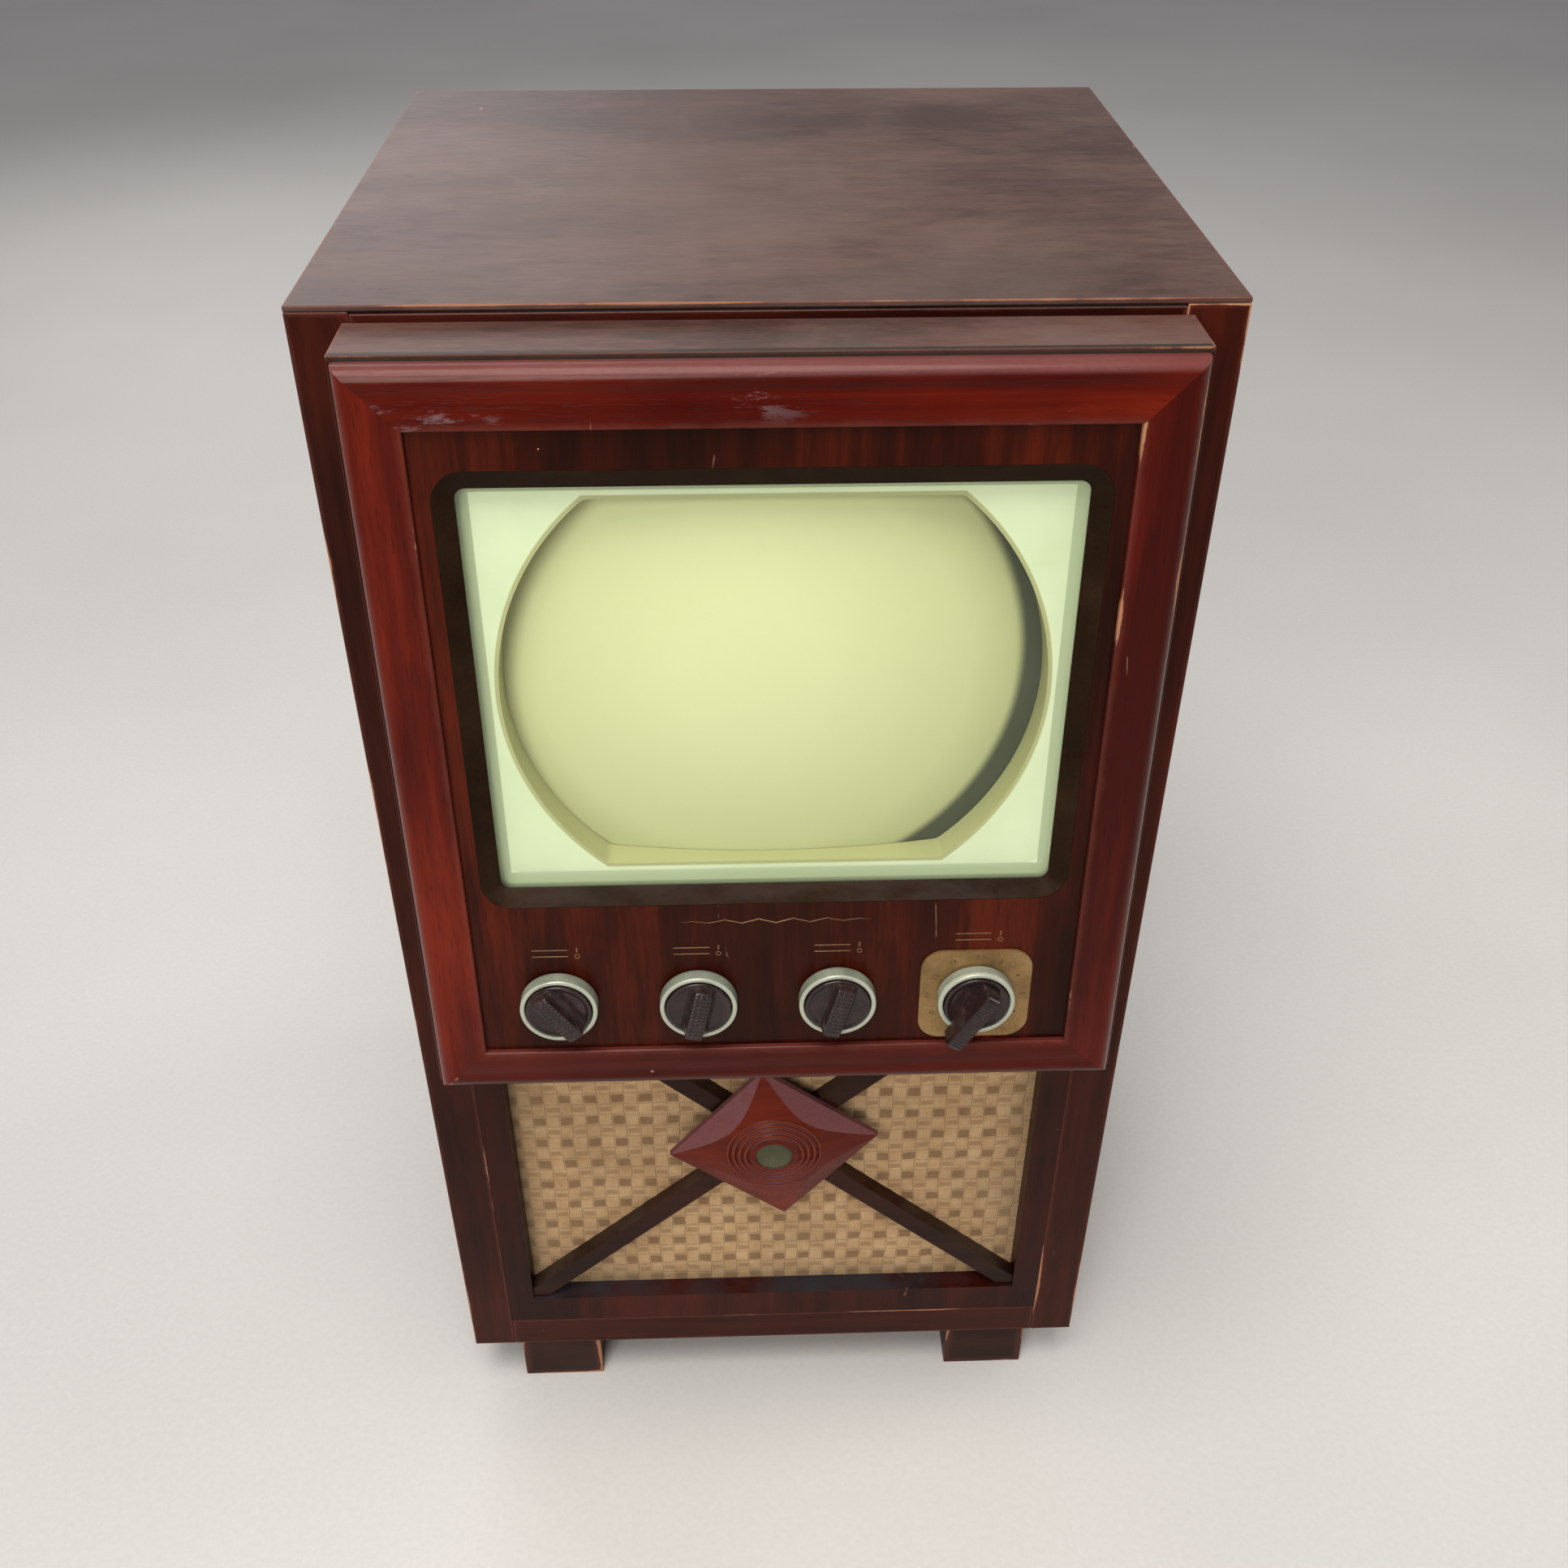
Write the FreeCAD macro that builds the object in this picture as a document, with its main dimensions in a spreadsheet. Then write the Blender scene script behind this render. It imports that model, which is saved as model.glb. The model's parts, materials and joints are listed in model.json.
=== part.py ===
import FreeCAD, Part
import math
import os
import re

import Sketcher
from FreeCAD import Vector

# A tube television in an upright wooden case. Millimetres, X to the viewer's right, Y from front to
# back, Z up. The origin is on the floor, under the middle of the whole set.
# The screen and the knobs sit on a board that leans back. What is on that board is drawn in the
# board's own axes: X as above, Y into the case square to the board, Z up the slope, with the origin
# at the middle of the bezel moulding's top edge.

SIZES = {
    # case
    "cabinet_width": 450, "cabinet_depth": 408, "case_height": 796, "board": 18,
    "front_thickness": 15, "stile_width": 30, "bottom_rail_height": 27.7, "top_rail_height": 22,
    "top_lip": 3, "top_groove": 1.2, "groove_depth": 3, "back_rebate": 9, "back_thickness": 3,
    "back_inset": 9,
    # feet
    "foot_height": 46, "foot_width": 59, "foot_length": 56, "foot_inner": 132, "foot_setback": 4,
    # grille
    "grille_side": 18.5, "grille_bottom": 25.6, "grille_height": 329, "cross_rail": 10,
    "cloth_thickness": 1.2, "baffle_thickness": 8, "bar_width": 13, "bar_depth": 12,
    "bar_setback": 2, "ornament_side": 100, "ornament_turn": 6, "ornament_edge": 4,
    "ornament_rise": 10.6, "ornament_slope": 0.45, "medallion_diameter": 25,
    "medallion_thickness": 3, "ornament_groove": 0.8,
    # hood and bezel
    "panel_tilt": 2.88, "hood_lap": 3.7, "hood_board": 12, "edge_reach": 46.2,
    "edge_drop": 10.5, "hood_step": 2.6, "bezel_height": 431.9, "bezel_face": 28.9,
    "bezel_edge": 5.5, "bezel_rise": 6.1, "bezel_rebate": 12.2, "panel_recess": 3.4,
    "panel_thickness": 8, "fit_gap": 0.5,
    # window, glass, mask
    "window_width": 317.8, "window_height": 251.8, "window_drop": 48.8, "window_radius": 16.5,
    "sight_width": 297.2, "sight_height": 231.4, "sight_radius": 5.5, "bevel_depth": 4.7,
    "liner_thickness": 5.7, "glass_thickness": 5, "mask_gap": 0.3, "mask_margin": 9,
    "mask_thickness": 3.5, "mask_rim": 5, "mask_dish": 1.7, "mask_radius": 139.2,
    "mask_flat": 106, "mask_corner": 6, "mask_wall": 2,
    # picture tube
    "tube_diameter": 316, "tube_length": 476, "face_radius": 510, "skirt_length": 50,
    "neck_diameter": 36.5, "neck_length": 190, "glass_wall": 6, "tube_gap": 1,
    "base_length": 30, "pin_length": 11, "yoke_diameter": 84, "yoke_length": 62,
    "coil_diameter": 96, "coil_length": 40, "cup_diameter": 86, "cup_reach": 40,
    "clamp_thickness": 2, "clamp_width": 22, "clamp_leg": 16,
    # controls
    "knob_drop": 367.5, "knob_pitch": 78.5, "knob_shift": -4.8, "ring_diameter": 44,
    "ring_wall": 3, "ring_length": 8.2, "ring_gap": 0.7, "ring_web": 1.5, "knob_gap": 0.4,
    "knob_proud": 0.3, "bar_top": 8, "bar_foot": 14, "bar_rise": 8, "bar_span": 30,
    "pointer_top": 9, "pointer_rise": 12.4, "pointer_long": 27.7, "pointer_short": 16,
    "sleeve_diameter": 6.35, "shaft_diameter": 3.2, "running_gap": 0.05, "bushing_diameter": 9.5,
    "bushing_clearance": 0.1, "hold_turn": 36, "contrast_turn": -12, "volume_turn": -15, "channel_turn": -32,
    "pot_diameter": 24, "pot_length": 24, "plate_size": 63, "plate_thickness": 1.6,
    "plate_corner": 13, "tuner_width": 56, "tuner_height": 46, "tuner_length": 50,
    "drum_diameter": 36, "sheet": 1.5,
    # chassis and speaker
    "shelf_thickness": 12, "chassis_width": 350, "chassis_depth": 300, "chassis_height": 50,
    "chassis_setback": 50, "transformer_width": 80, "transformer_height": 80, "bell_inset": 8,
    "cage_width": 88, "cage_depth": 110, "cage_height": 105, "valve_diameter": 26, "valve_height": 60,
    "speaker_diameter": 200, "speaker_depth": 85, "magnet_diameter": 84, "magnet_length": 30,
    "throat_diameter": 36,
    # back cover
    "vent_length": 32, "vent_height": 7, "vent_pitch": 22, "screw_diameter": 3.8, "screw_length": 12,
    "screw_head": 8.4, "screw_crown": 2.9,
}

doc = FreeCAD.newDocument("tube_television")
sheet = doc.addObject("Spreadsheet::Sheet", "sizes")
for row, (alias, value) in enumerate(SIZES.items(), start=1):
    sheet.set(f"A{row}", alias)
    sheet.set(f"B{row}", str(value))
    sheet.setAlias(f"B{row}", alias)
doc.recompute()
ALIASES = re.compile(r"\b(" + "|".join(sorted(SIZES, key=len, reverse=True)) + r")\b")
PLANES = {"XY_Plane": "z", "XZ_Plane": "y", "YZ_Plane": "x"}
pieces = {}


def size(alias):
    """The number in the sheet's cell of that name."""
    return float(sheet.get(alias))


def bind(thing, prop, formula):
    """Ties a property to a formula of the sheet's names."""
    thing.setExpression(prop, ALIASES.sub(r"sizes.\1", formula))


def place(x="0", y="0", z="0", turn="0", axis=(0, 1, 0)):
    """A placement formula: a place, and a turn in degrees about an axis."""
    a, b, c = axis
    return f"placement(vector({x}; {y}; {z}); rotation(vector({a}; {b}; {c}); {turn}))"


def keep(name, thing, frame=None):
    """Names a finished sub-part, and puts it in its frame."""
    thing.Label = name
    if frame:
        bind(thing, "Placement", frame)
    pieces[name] = thing
    return thing


def block(name, low, high, frame=None):
    """A box between two corners."""
    box = doc.addObject("Part::Box", name)
    for prop, start, end in zip(("Length", "Width", "Height"), low, high):
        bind(box, prop, f"({end}) - ({start})")
    corner = place(*low)
    bind(box, "Placement", f"{frame} * {corner}" if frame else corner)
    return box


def rod(name, radius, start, length, frame=None):
    """A cylinder along Y."""
    cylinder = doc.addObject("Part::Cylinder", name)
    bind(cylinder, "Radius", radius)
    bind(cylinder, "Height", length)
    spot = place(*start, turn="90", axis=(-1, 0, 0))
    bind(cylinder, "Placement", f"{frame} * {spot}" if frame else spot)
    return cylinder


def cut(name, base, tool):
    """The base less the tool."""
    result = doc.addObject("Part::Cut", name)
    result.Base, result.Tool = base, tool
    return result


def joined(name, parts, kind="Part::MultiFuse"):
    """Several shapes as one: fused, common to all, or side by side."""
    result = doc.addObject(kind, name)
    if kind == "Part::Compound":
        result.Links = parts
    else:
        result.Shapes = parts
    return result


def outline(body, role, points):
    """A closed sketch whose corners stand at formulas of the sheet."""
    sketch = body.newObject("Sketcher::SketchObject", body.Name + "_sketch")
    face = next(item for item in body.Origin.OriginFeatures if item.Role == role)
    sketch.AttachmentSupport = [(face, "")]
    sketch.MapMode = "FlatFace"
    count = len(points)
    turns = [2 * math.pi * i / count for i in range(count)]
    start = [Vector(20 + 10 * math.cos(t), 20 + 10 * math.sin(t), 0) for t in turns]
    for i in range(count):
        sketch.addGeometry(Part.LineSegment(start[i], start[(i + 1) % count]), False)
    for i in range(count):
        sketch.addConstraint(Sketcher.Constraint("Coincident", i, 2, (i + 1) % count, 1))
    for i, (across, up) in enumerate(points):
        for kind, formula, now in (("DistanceX", across, start[i].x), ("DistanceY", up, start[i].y)):
            number = sketch.addConstraint(Sketcher.Constraint(kind, -1, 1, i, 1, now))
            bind(sketch, f"Constraints[{number}]", formula)
    return sketch


def prism(name, role, points, low, high, corner=None, frame=None):
    """A flat outline carried square to its plane from low to high, its corners rounded if asked."""
    body = doc.addObject("PartDesign::Body", name)
    pad = body.newObject("PartDesign::Pad", name + "_pad")
    pad.Profile = outline(body, role, points)
    bind(pad, "Length", f"({high}) - ({low})")
    start = high if role == "XZ_Plane" else low
    spot = place(**{PLANES[role]: start})
    bind(body, "Placement", f"{frame} * {spot}" if frame else spot)
    if corner:
        doc.recompute()
        run = {"x": 0, "y": 1, "z": 2}[PLANES[role]]
        named = [
            f"Edge{i}"
            for i, edge in enumerate(pad.Shape.Edges, start=1)
            if abs(edge.tangentAt(edge.FirstParameter)[run]) > 0.99
        ]
        fillet = body.newObject("PartDesign::Fillet", name + "_corners")
        fillet.Base = (pad, named)
        bind(fillet, "Radius", corner)
    return body


def turned(name, points, frame=None):
    """A turned piece: an outline of radius and place along Y, swept round the Y axis."""
    body = doc.addObject("PartDesign::Body", name)
    sweep = body.newObject("PartDesign::Revolution", name + "_turning")
    sketch = outline(body, "XY_Plane", points)
    sweep.Profile = sketch
    sweep.ReferenceAxis = (sketch, ["V_Axis"])
    sweep.Angle = 360
    if frame:
        bind(body, "Placement", frame)
    return body


# Places that many pieces share.
HALF = "cabinet_width / 2"
TOP = "(foot_height + case_height)"
LIP_BOTTOM = f"({TOP} - edge_drop)"
POINTER_DROP = "(knob_drop + pointer_long * cos(32) + pointer_top / 2 * sin(32))"
POINTER_FRONT = (
    "(bezel_rise - panel_recess + plate_thickness + ring_gap + ring_length + knob_proud + pointer_rise)"
)
REACH = f"(edge_reach + {POINTER_FRONT} * cos(panel_tilt) + {POINTER_DROP} * sin(panel_tilt))"
FRONT = f"(({REACH} - cabinet_depth - cup_reach) / 2)"
BACK = f"({FRONT} + cabinet_depth)"
BEHIND = f"({FRONT} + front_thickness)"
PANEL = place("0", f"{FRONT} - edge_reach", LIP_BOTTOM, "panel_tilt", (-1, 0, 0))
OPEN_HALF = f"({HALF} - stile_width - grille_side)"
OPEN_LOW = "(foot_height + bottom_rail_height + grille_bottom)"
OPEN_HIGH = f"({OPEN_LOW} + grille_height)"
RAIL_BOTTOM = f"({TOP} - top_lip - top_rail_height)"
COVER_FRONT = f"({BACK} - back_inset - back_thickness)"
PANEL_FRONT = "(panel_recess - bezel_rise)"
PANEL_BACK = f"({PANEL_FRONT} + panel_thickness)"
HOOD_HALF = f"({HALF} - stile_width + hood_lap)"
BEZEL_HALF = f"({HOOD_HALF} - hood_step)"
WINDOW_MIDDLE = "(window_drop + window_height / 2)"
KNOB_PLACES = [f"(knob_shift + knob_pitch * {step})" for step in (-1.5, -0.5, 0.5, 1.5)]
SHELF_TOP = f"({OPEN_HIGH} + 2 + shelf_thickness)"
CHASSIS_TOP = f"({SHELF_TOP} + chassis_height)"
FACE_DEPTH = f"({PANEL_FRONT} + liner_thickness + glass_thickness + tube_gap)"


def mirrored(name, make):
    """A left piece and its right twin: make gets the side's name and its sign."""
    for side, sign in (("left", "-1"), ("right", "1")):
        keep(f"{name}_{side}", make(side, sign))


def span(sign, near, far):
    """The low and high X of a piece between two distances from the middle, on one side."""
    return (f"-({far})", f"-({near})") if sign == "-1" else (near, far)


def case():
    """The boards of the case."""

    def side_panel(side, sign):
        near, far = span(sign, f"{HALF} - board", HALF)
        panel = block(f"side_{side}_board", (near, BEHIND, "foot_height"), (far, BACK, f"{TOP} - board"))
        low, high = span(sign, f"{HALF} - board - 1", f"{HALF} - board + back_rebate")
        depth = COVER_FRONT
        floor = "foot_height + board - back_rebate"
        rebate = block(f"side_{side}_rebate", (low, depth, floor), (high, f"{BACK} + 1", TOP))
        return cut(f"side_{side}", panel, rebate)

    mirrored("side_panel", side_panel)

    board = block("top_board", (f"-({HALF})", BEHIND, f"{TOP} - board"), (HALF, BACK, TOP))
    inner = f"{HALF} - stile_width"
    lip = block("top_lip_board", (f"-({HALF})", FRONT, f"{TOP} - top_lip"), (HALF, BEHIND, TOP))
    rebate_half = f"({HALF} - board + back_rebate)"
    rebate = block(
        "top_rebate",
        (f"-{rebate_half}", COVER_FRONT, f"{TOP} - board - 1"),
        (rebate_half, f"{BACK} + 1", f"{TOP} - board + back_rebate"),
    )
    keep("top_panel", cut("top", joined("top_boards", [board, lip]), rebate))

    floor_half = f"({HALF} - board)"
    floor = block(
        "bottom_board",
        (f"-{floor_half}", BEHIND, "foot_height"),
        (floor_half, BACK, "foot_height + board"),
    )
    floor_rebate = block(
        "bottom_rebate",
        (f"-{floor_half} - 1", COVER_FRONT, "foot_height + board - back_rebate"),
        (f"{floor_half} + 1", f"{BACK} + 1", "foot_height + board + 1"),
    )
    keep("bottom_panel", cut("bottom", floor, floor_rebate))

    def stile(side, sign):
        near, far = span(sign, inner, HALF)
        return block(f"stile_{side}", (near, FRONT, "foot_height"), (far, BEHIND, f"{TOP} - top_lip"))

    mirrored("front_stile", stile)
    rail_end = f"{TOP} - top_lip"
    rail = block("rail_top", (f"-({inner})", FRONT, RAIL_BOTTOM),
                 (inner, BEHIND, f"{rail_end} - top_groove"))
    tongue = block("rail_tongue", (f"-({inner})", f"{FRONT} + groove_depth", RAIL_BOTTOM),
                   (inner, BEHIND, rail_end))
    keep("top_rail", joined("rail_pieces", [rail, tongue]))
    rail_top = "foot_height + bottom_rail_height"
    keep("bottom_rail", block("rail_bottom", (f"-({inner})", FRONT, "foot_height"),
                              (inner, BEHIND, rail_top)))

    feet = []
    rows = {"front": (f"{FRONT} + foot_setback", f"{FRONT} + foot_setback + foot_length"),
            "rear": (f"{BACK} - foot_setback - foot_length", f"{BACK} - foot_setback")}
    for row, (start, end) in rows.items():
        for side, sign in (("left", "-1"), ("right", "1")):
            near, far = span(sign, "foot_inner", "foot_inner + foot_width")
            feet.append(block(f"foot_{row}_{side}", (near, start, "0"), (far, end, "foot_height")))
    keep("feet", joined("feet_group", feet, "Part::Compound"))

    shelf_half = f"({HALF} - board)"
    shelf_start = f"{BEHIND} + cloth_thickness + baffle_thickness"
    keep("chassis_shelf", block(
        "shelf", (f"-{shelf_half}", shelf_start, f"{SHELF_TOP} - shelf_thickness"),
        (shelf_half, COVER_FRONT, SHELF_TOP),
    ))


def grille():
    """The grille's mitred frame, cloth, crossed bars and ornament."""
    outer = f"({HALF} - stile_width)"
    low = "foot_height + bottom_rail_height"
    members = []
    for sign in ("-1", "1"):
        corners = [(f"{sign} * {outer}", low), (f"{sign} * {OPEN_HALF}", OPEN_LOW),
                   (f"{sign} * {OPEN_HALF}", RAIL_BOTTOM), (f"{sign} * {outer}", RAIL_BOTTOM)]
        members.append(prism(f"grille_side{len(members)}", "XZ_Plane", corners, FRONT, BEHIND))
    corners = [(f"-{outer}", low), (outer, low), (OPEN_HALF, OPEN_LOW), (f"-{OPEN_HALF}", OPEN_LOW)]
    members.append(prism("grille_foot", "XZ_Plane", corners, FRONT, BEHIND))
    members.append(block("grille_cross", (f"-{OPEN_HALF}", FRONT, OPEN_HIGH),
                         (OPEN_HALF, BEHIND, f"{OPEN_HIGH} + cross_rail")))
    keep("grille_frame", joined("grille_members", members, "Part::Compound"))

    cloth_half = f"({HALF} - board - 2)"
    cloth_back = f"({BEHIND} + cloth_thickness)"
    keep("grille_cloth", block("cloth", (f"-{cloth_half}", BEHIND, "foot_height + board + 1"),
                               (cloth_half, cloth_back, f"{OPEN_HIGH} + cross_rail")))
    middle = f"({OPEN_LOW} + grille_height / 2)"
    baffle = block("baffle", (f"-{cloth_half}", cloth_back, "foot_height + board"),
                   (cloth_half, f"{cloth_back} + baffle_thickness", f"{OPEN_HIGH} + cross_rail"))
    mouth = rod("baffle_mouth", "speaker_diameter / 2 - 14", ("0", BEHIND, middle), "baffle_thickness + 5")
    keep("speaker_baffle", cut("baffle_board", baffle, mouth))

    slope = f"atan(grille_height / (2 * {OPEN_HALF}))"
    run = "(2 * cabinet_width)"
    bar_front = f"({FRONT} + bar_setback)"
    opening = block("bar_limits", (f"-{OPEN_HALF}", bar_front, OPEN_LOW),
                    (OPEN_HALF, f"{bar_front} + bar_depth", OPEN_HIGH))
    bars = []
    for sign, start in (("-1", "0"), ("1", "bar_depth / 2")):
        lean = place("0", bar_front, middle, f"{sign} * {slope}")
        other = place("0", bar_front, middle, f"-1 * {sign} * {slope}")
        low_corner = (f"-{run} / 2", "0", "-bar_width / 2")
        high_corner = (f"{run} / 2", "bar_depth", "bar_width / 2")
        length = block(f"bar{len(bars)}_length", low_corner, high_corner, lean)
        halving = block(f"bar{len(bars)}_halving", (f"-{run} / 2", start, "-bar_width / 2"),
                        (f"{run} / 2", f"{start} + bar_depth / 2", "bar_width / 2"), other)
        fitted = joined(f"bar{len(bars)}_fitted", [length, opening], "Part::MultiCommon")
        bars.append(cut(f"bar{len(bars)}", fitted, halving))
    keep("grille_bars", joined("bars", bars, "Part::Compound"))

    half = "ornament_side / 2"
    tip = f"({half} * sqrt(2))"
    crown = f"({half} - ornament_rise / ornament_slope)"
    pyramid = doc.addObject("Part::Wedge", "ornament_pyramid")
    limits = {"Xmin": f"-{crown}", "Xmax": crown, "Zmin": f"-{crown}", "Zmax": crown,
              "X2min": f"-{half}", "X2max": half, "Z2min": f"-{half}", "Z2max": half,
              "Ymin": "-ornament_rise", "Ymax": "0"}
    for prop, formula in limits.items():
        bind(pyramid, prop, formula)
    dish = doc.addObject("Part::Cone", "ornament_turning")
    bind(dish, "Radius1", tip)
    bind(dish, "Radius2", "medallion_diameter / 2 + 1.5")
    bind(dish, "Height", "ornament_rise")
    bind(dish, "Placement", place(turn="90", axis=(1, 0, 0)))
    face = joined("ornament_face", [pyramid, dish], "Part::MultiCommon")
    plate = block("ornament_plate", (f"-{half}", "0", f"-{half}"), (half, "ornament_edge", half))
    tools = [rod("ornament_recess", "medallion_diameter / 2", ("0", "-ornament_rise - 1", "0"),
                 "medallion_thickness + 1")]
    for number in range(4):
        radius = f"(medallion_diameter / 2 + 5 + {number} * 4)"
        groove = doc.addObject("Part::Torus", f"ornament_groove{number}")
        bind(groove, "Radius1", radius)
        bind(groove, "Radius2", "ornament_groove")
        fall = f"ornament_rise * ({tip} - {radius}) / ({tip} - medallion_diameter / 2 - 1.5)"
        bind(groove, "Placement", place(y=f"-({fall})", turn="90", axis=(1, 0, 0)))
        tools.append(groove)
    square = place(z=middle, y=f"{bar_front} - ornament_edge", turn="-45 - ornament_turn")
    carved = cut("ornament", joined("ornament_blank", [face, plate]), joined("ornament_tools", tools))
    keep("diamond_ornament", carved, square)
    keep("medallion", turned("medallion_disc", [
        ("0", "0"), ("medallion_diameter / 2", "0"),
        ("medallion_diameter / 2", "0.8 - medallion_thickness"),
        ("medallion_diameter / 2 - 2", "-medallion_thickness"), ("0", "-medallion_thickness"),
    ]), place(z=middle, y=f"{bar_front} - ornament_edge - ornament_rise + medallion_thickness"))


def hood():
    """Four mitred boards that carry the leaning bezel in front of the case."""
    high = f"({TOP} - edge_drop + hood_step)"
    low = f"({LIP_BOTTOM} - (bezel_height + hood_step) * cos(panel_tilt))"
    half = HOOD_HALF

    def front(height):
        lean = f"tan(panel_tilt) * ({height} - {LIP_BOTTOM})"
        return f"({FRONT} - edge_reach + bezel_edge / cos(panel_tilt) + {lean})"

    wedge = prism("hood_wedge", "YZ_Plane", [
        (FRONT, low), (FRONT, high), (front(high), high), (front(low), low),
    ], f"-{half}", half)
    outer = {"tl": (f"-{half}", high), "tr": (half, high), "br": (half, low), "bl": (f"-{half}", low)}
    within, below, above = f"({half} - hood_board)", f"{high} - hood_board", f"{low} + hood_board"
    inner = {"tl": (f"-{within}", below), "tr": (within, below), "br": (within, above),
             "bl": (f"-{within}", above)}
    sides = {"top": ("tl", "tr"), "right": ("tr", "br"), "bottom": ("br", "bl"), "left": ("bl", "tl")}
    for side, (start, end) in sides.items():
        corners = [outer[start], outer[end], inner[end], inner[start]]
        mitre = prism(f"hood_{side}_mitre", "XZ_Plane", corners,
                      f"{FRONT} - 2 * edge_reach", FRONT)
        keep(f"hood_{side}", joined(f"hood_{side}_board", [wedge, mitre], "Part::MultiCommon"))


def arc(start, through, end):
    return Part.Arc(Vector(*start), Vector(*through), Vector(*end)).toShape()


def line(start, end):
    return Part.LineSegment(Vector(*start), Vector(*end)).toShape()


def bezel_length(length):
    """A mitred length of the bezel moulding: rounded outside, flatter inside, rebated behind."""
    face, edge, rise = size("bezel_face"), size("bezel_edge"), size("bezel_rise")
    rebate, seat = size("bezel_rebate"), size("panel_recess") - rise
    half = length / 2
    crest, brow = -0.8 * rise, 0.33 * face

    def at(depth, inward):
        return (-half, depth, -inward)

    edges = [
        line(at(edge, 0), at(0.1 * rise, 0)),
        arc(at(0.1 * rise, 0), at(0.75 * crest, 0.1 * face), at(crest, brow)),
        arc(at(crest, brow), at(-0.96 * rise, 0.62 * face), at(-rise, face - 1.2)),
        arc(at(-rise, face - 1.2), at(0.35 - rise, face - 0.35), at(1.2 - rise, face)),
        line(at(1.2 - rise, face), at(seat, face)),
        line(at(seat, face), at(seat, rebate)),
        line(at(seat, rebate), at(edge, rebate)),
        line(at(edge, rebate), at(edge, 0)),
    ]
    run = Part.Face(Part.Wire(edges)).extrude(Vector(length, 0, 0))
    corners = [(-half, 0), (half, 0), (half - face, -face), (face - half, -face)]
    loop = Part.makePolygon([Vector(x, -2 * rise, z) for x, z in corners + corners[:1]])
    return run.common(Part.Face(loop).extrude(Vector(0, 4 * rise, 0)))


def shaped(name, shape, frame):
    """A sub-part whose outline has arcs, drawn from the sheet's numbers."""
    feature = doc.addObject("Part::Feature", name + "_shape")
    feature.Shape = shape
    return keep(name, feature, frame)


def bezel():
    """The picture-frame moulding round the panel: four mitred lengths."""
    lap = size("hood_lap") - size("hood_step") - size("stile_width")
    width = size("cabinet_width") + 2 * lap
    height = size("bezel_height")
    spots = {
        "top": (width, place()),
        "bottom": (width, place(z="-bezel_height", turn="180")),
        "left": (height, place(x=f"-{BEZEL_HALF}", z="-bezel_height / 2", turn="-90")),
        "right": (height, place(x=BEZEL_HALF, z="-bezel_height / 2", turn="90")),
    }
    for side, (length, spot) in spots.items():
        shaped(f"moulding_{side}", bezel_length(length), f"{PANEL} * {spot}")


def rounded_loop(half_width, top, bottom, radius, depth):
    """A rounded rectangle across the board, at one depth."""
    w, r, k = half_width, radius, radius * (1 - math.sqrt(0.5))

    def p(x, z):
        return (x, depth, z)

    return Part.Wire([
        line(p(-w + r, top), p(w - r, top)),
        arc(p(w - r, top), p(w - k, top - k), p(w, top - r)),
        line(p(w, top - r), p(w, bottom + r)),
        arc(p(w, bottom + r), p(w - k, bottom + k), p(w - r, bottom)),
        line(p(w - r, bottom), p(-w + r, bottom)),
        arc(p(-w + r, bottom), p(-w + k, bottom + k), p(-w, bottom + r)),
        line(p(-w, bottom + r), p(-w, top - r)),
        arc(p(-w, top - r), p(-w + k, top - k), p(-w + r, top)),
    ])


def panel_board():
    """The board behind the bezel, with the window and the holes for the controls."""
    half = f"({BEZEL_HALF} - bezel_rebate - fit_gap)"
    board = block("panel_board", (f"-{half}", PANEL_FRONT, "bezel_rebate + fit_gap - bezel_height"),
                  (half, PANEL_BACK, "-(bezel_rebate + fit_gap)"))
    side, top, bottom = "window_width / 2", "-window_drop", "-(window_drop + window_height)"
    window = prism("panel_window", "XZ_Plane",
                   [(f"-{side}", bottom), (side, bottom), (side, top), (f"-{side}", top)],
                   f"{PANEL_FRONT} - 1", f"{PANEL_BACK} + 1", corner="window_radius")
    start = f"{PANEL_FRONT} - 1"
    holes = [rod(f"panel_hole{number}", "bushing_diameter / 2 + bushing_clearance",
                 (x, start, "-knob_drop"), "panel_thickness + 2") for number, x in enumerate(KNOB_PLACES)]
    keep("control_panel", cut("panel_cut", board, joined("panel_openings", [window] + holes)), PANEL)


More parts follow.
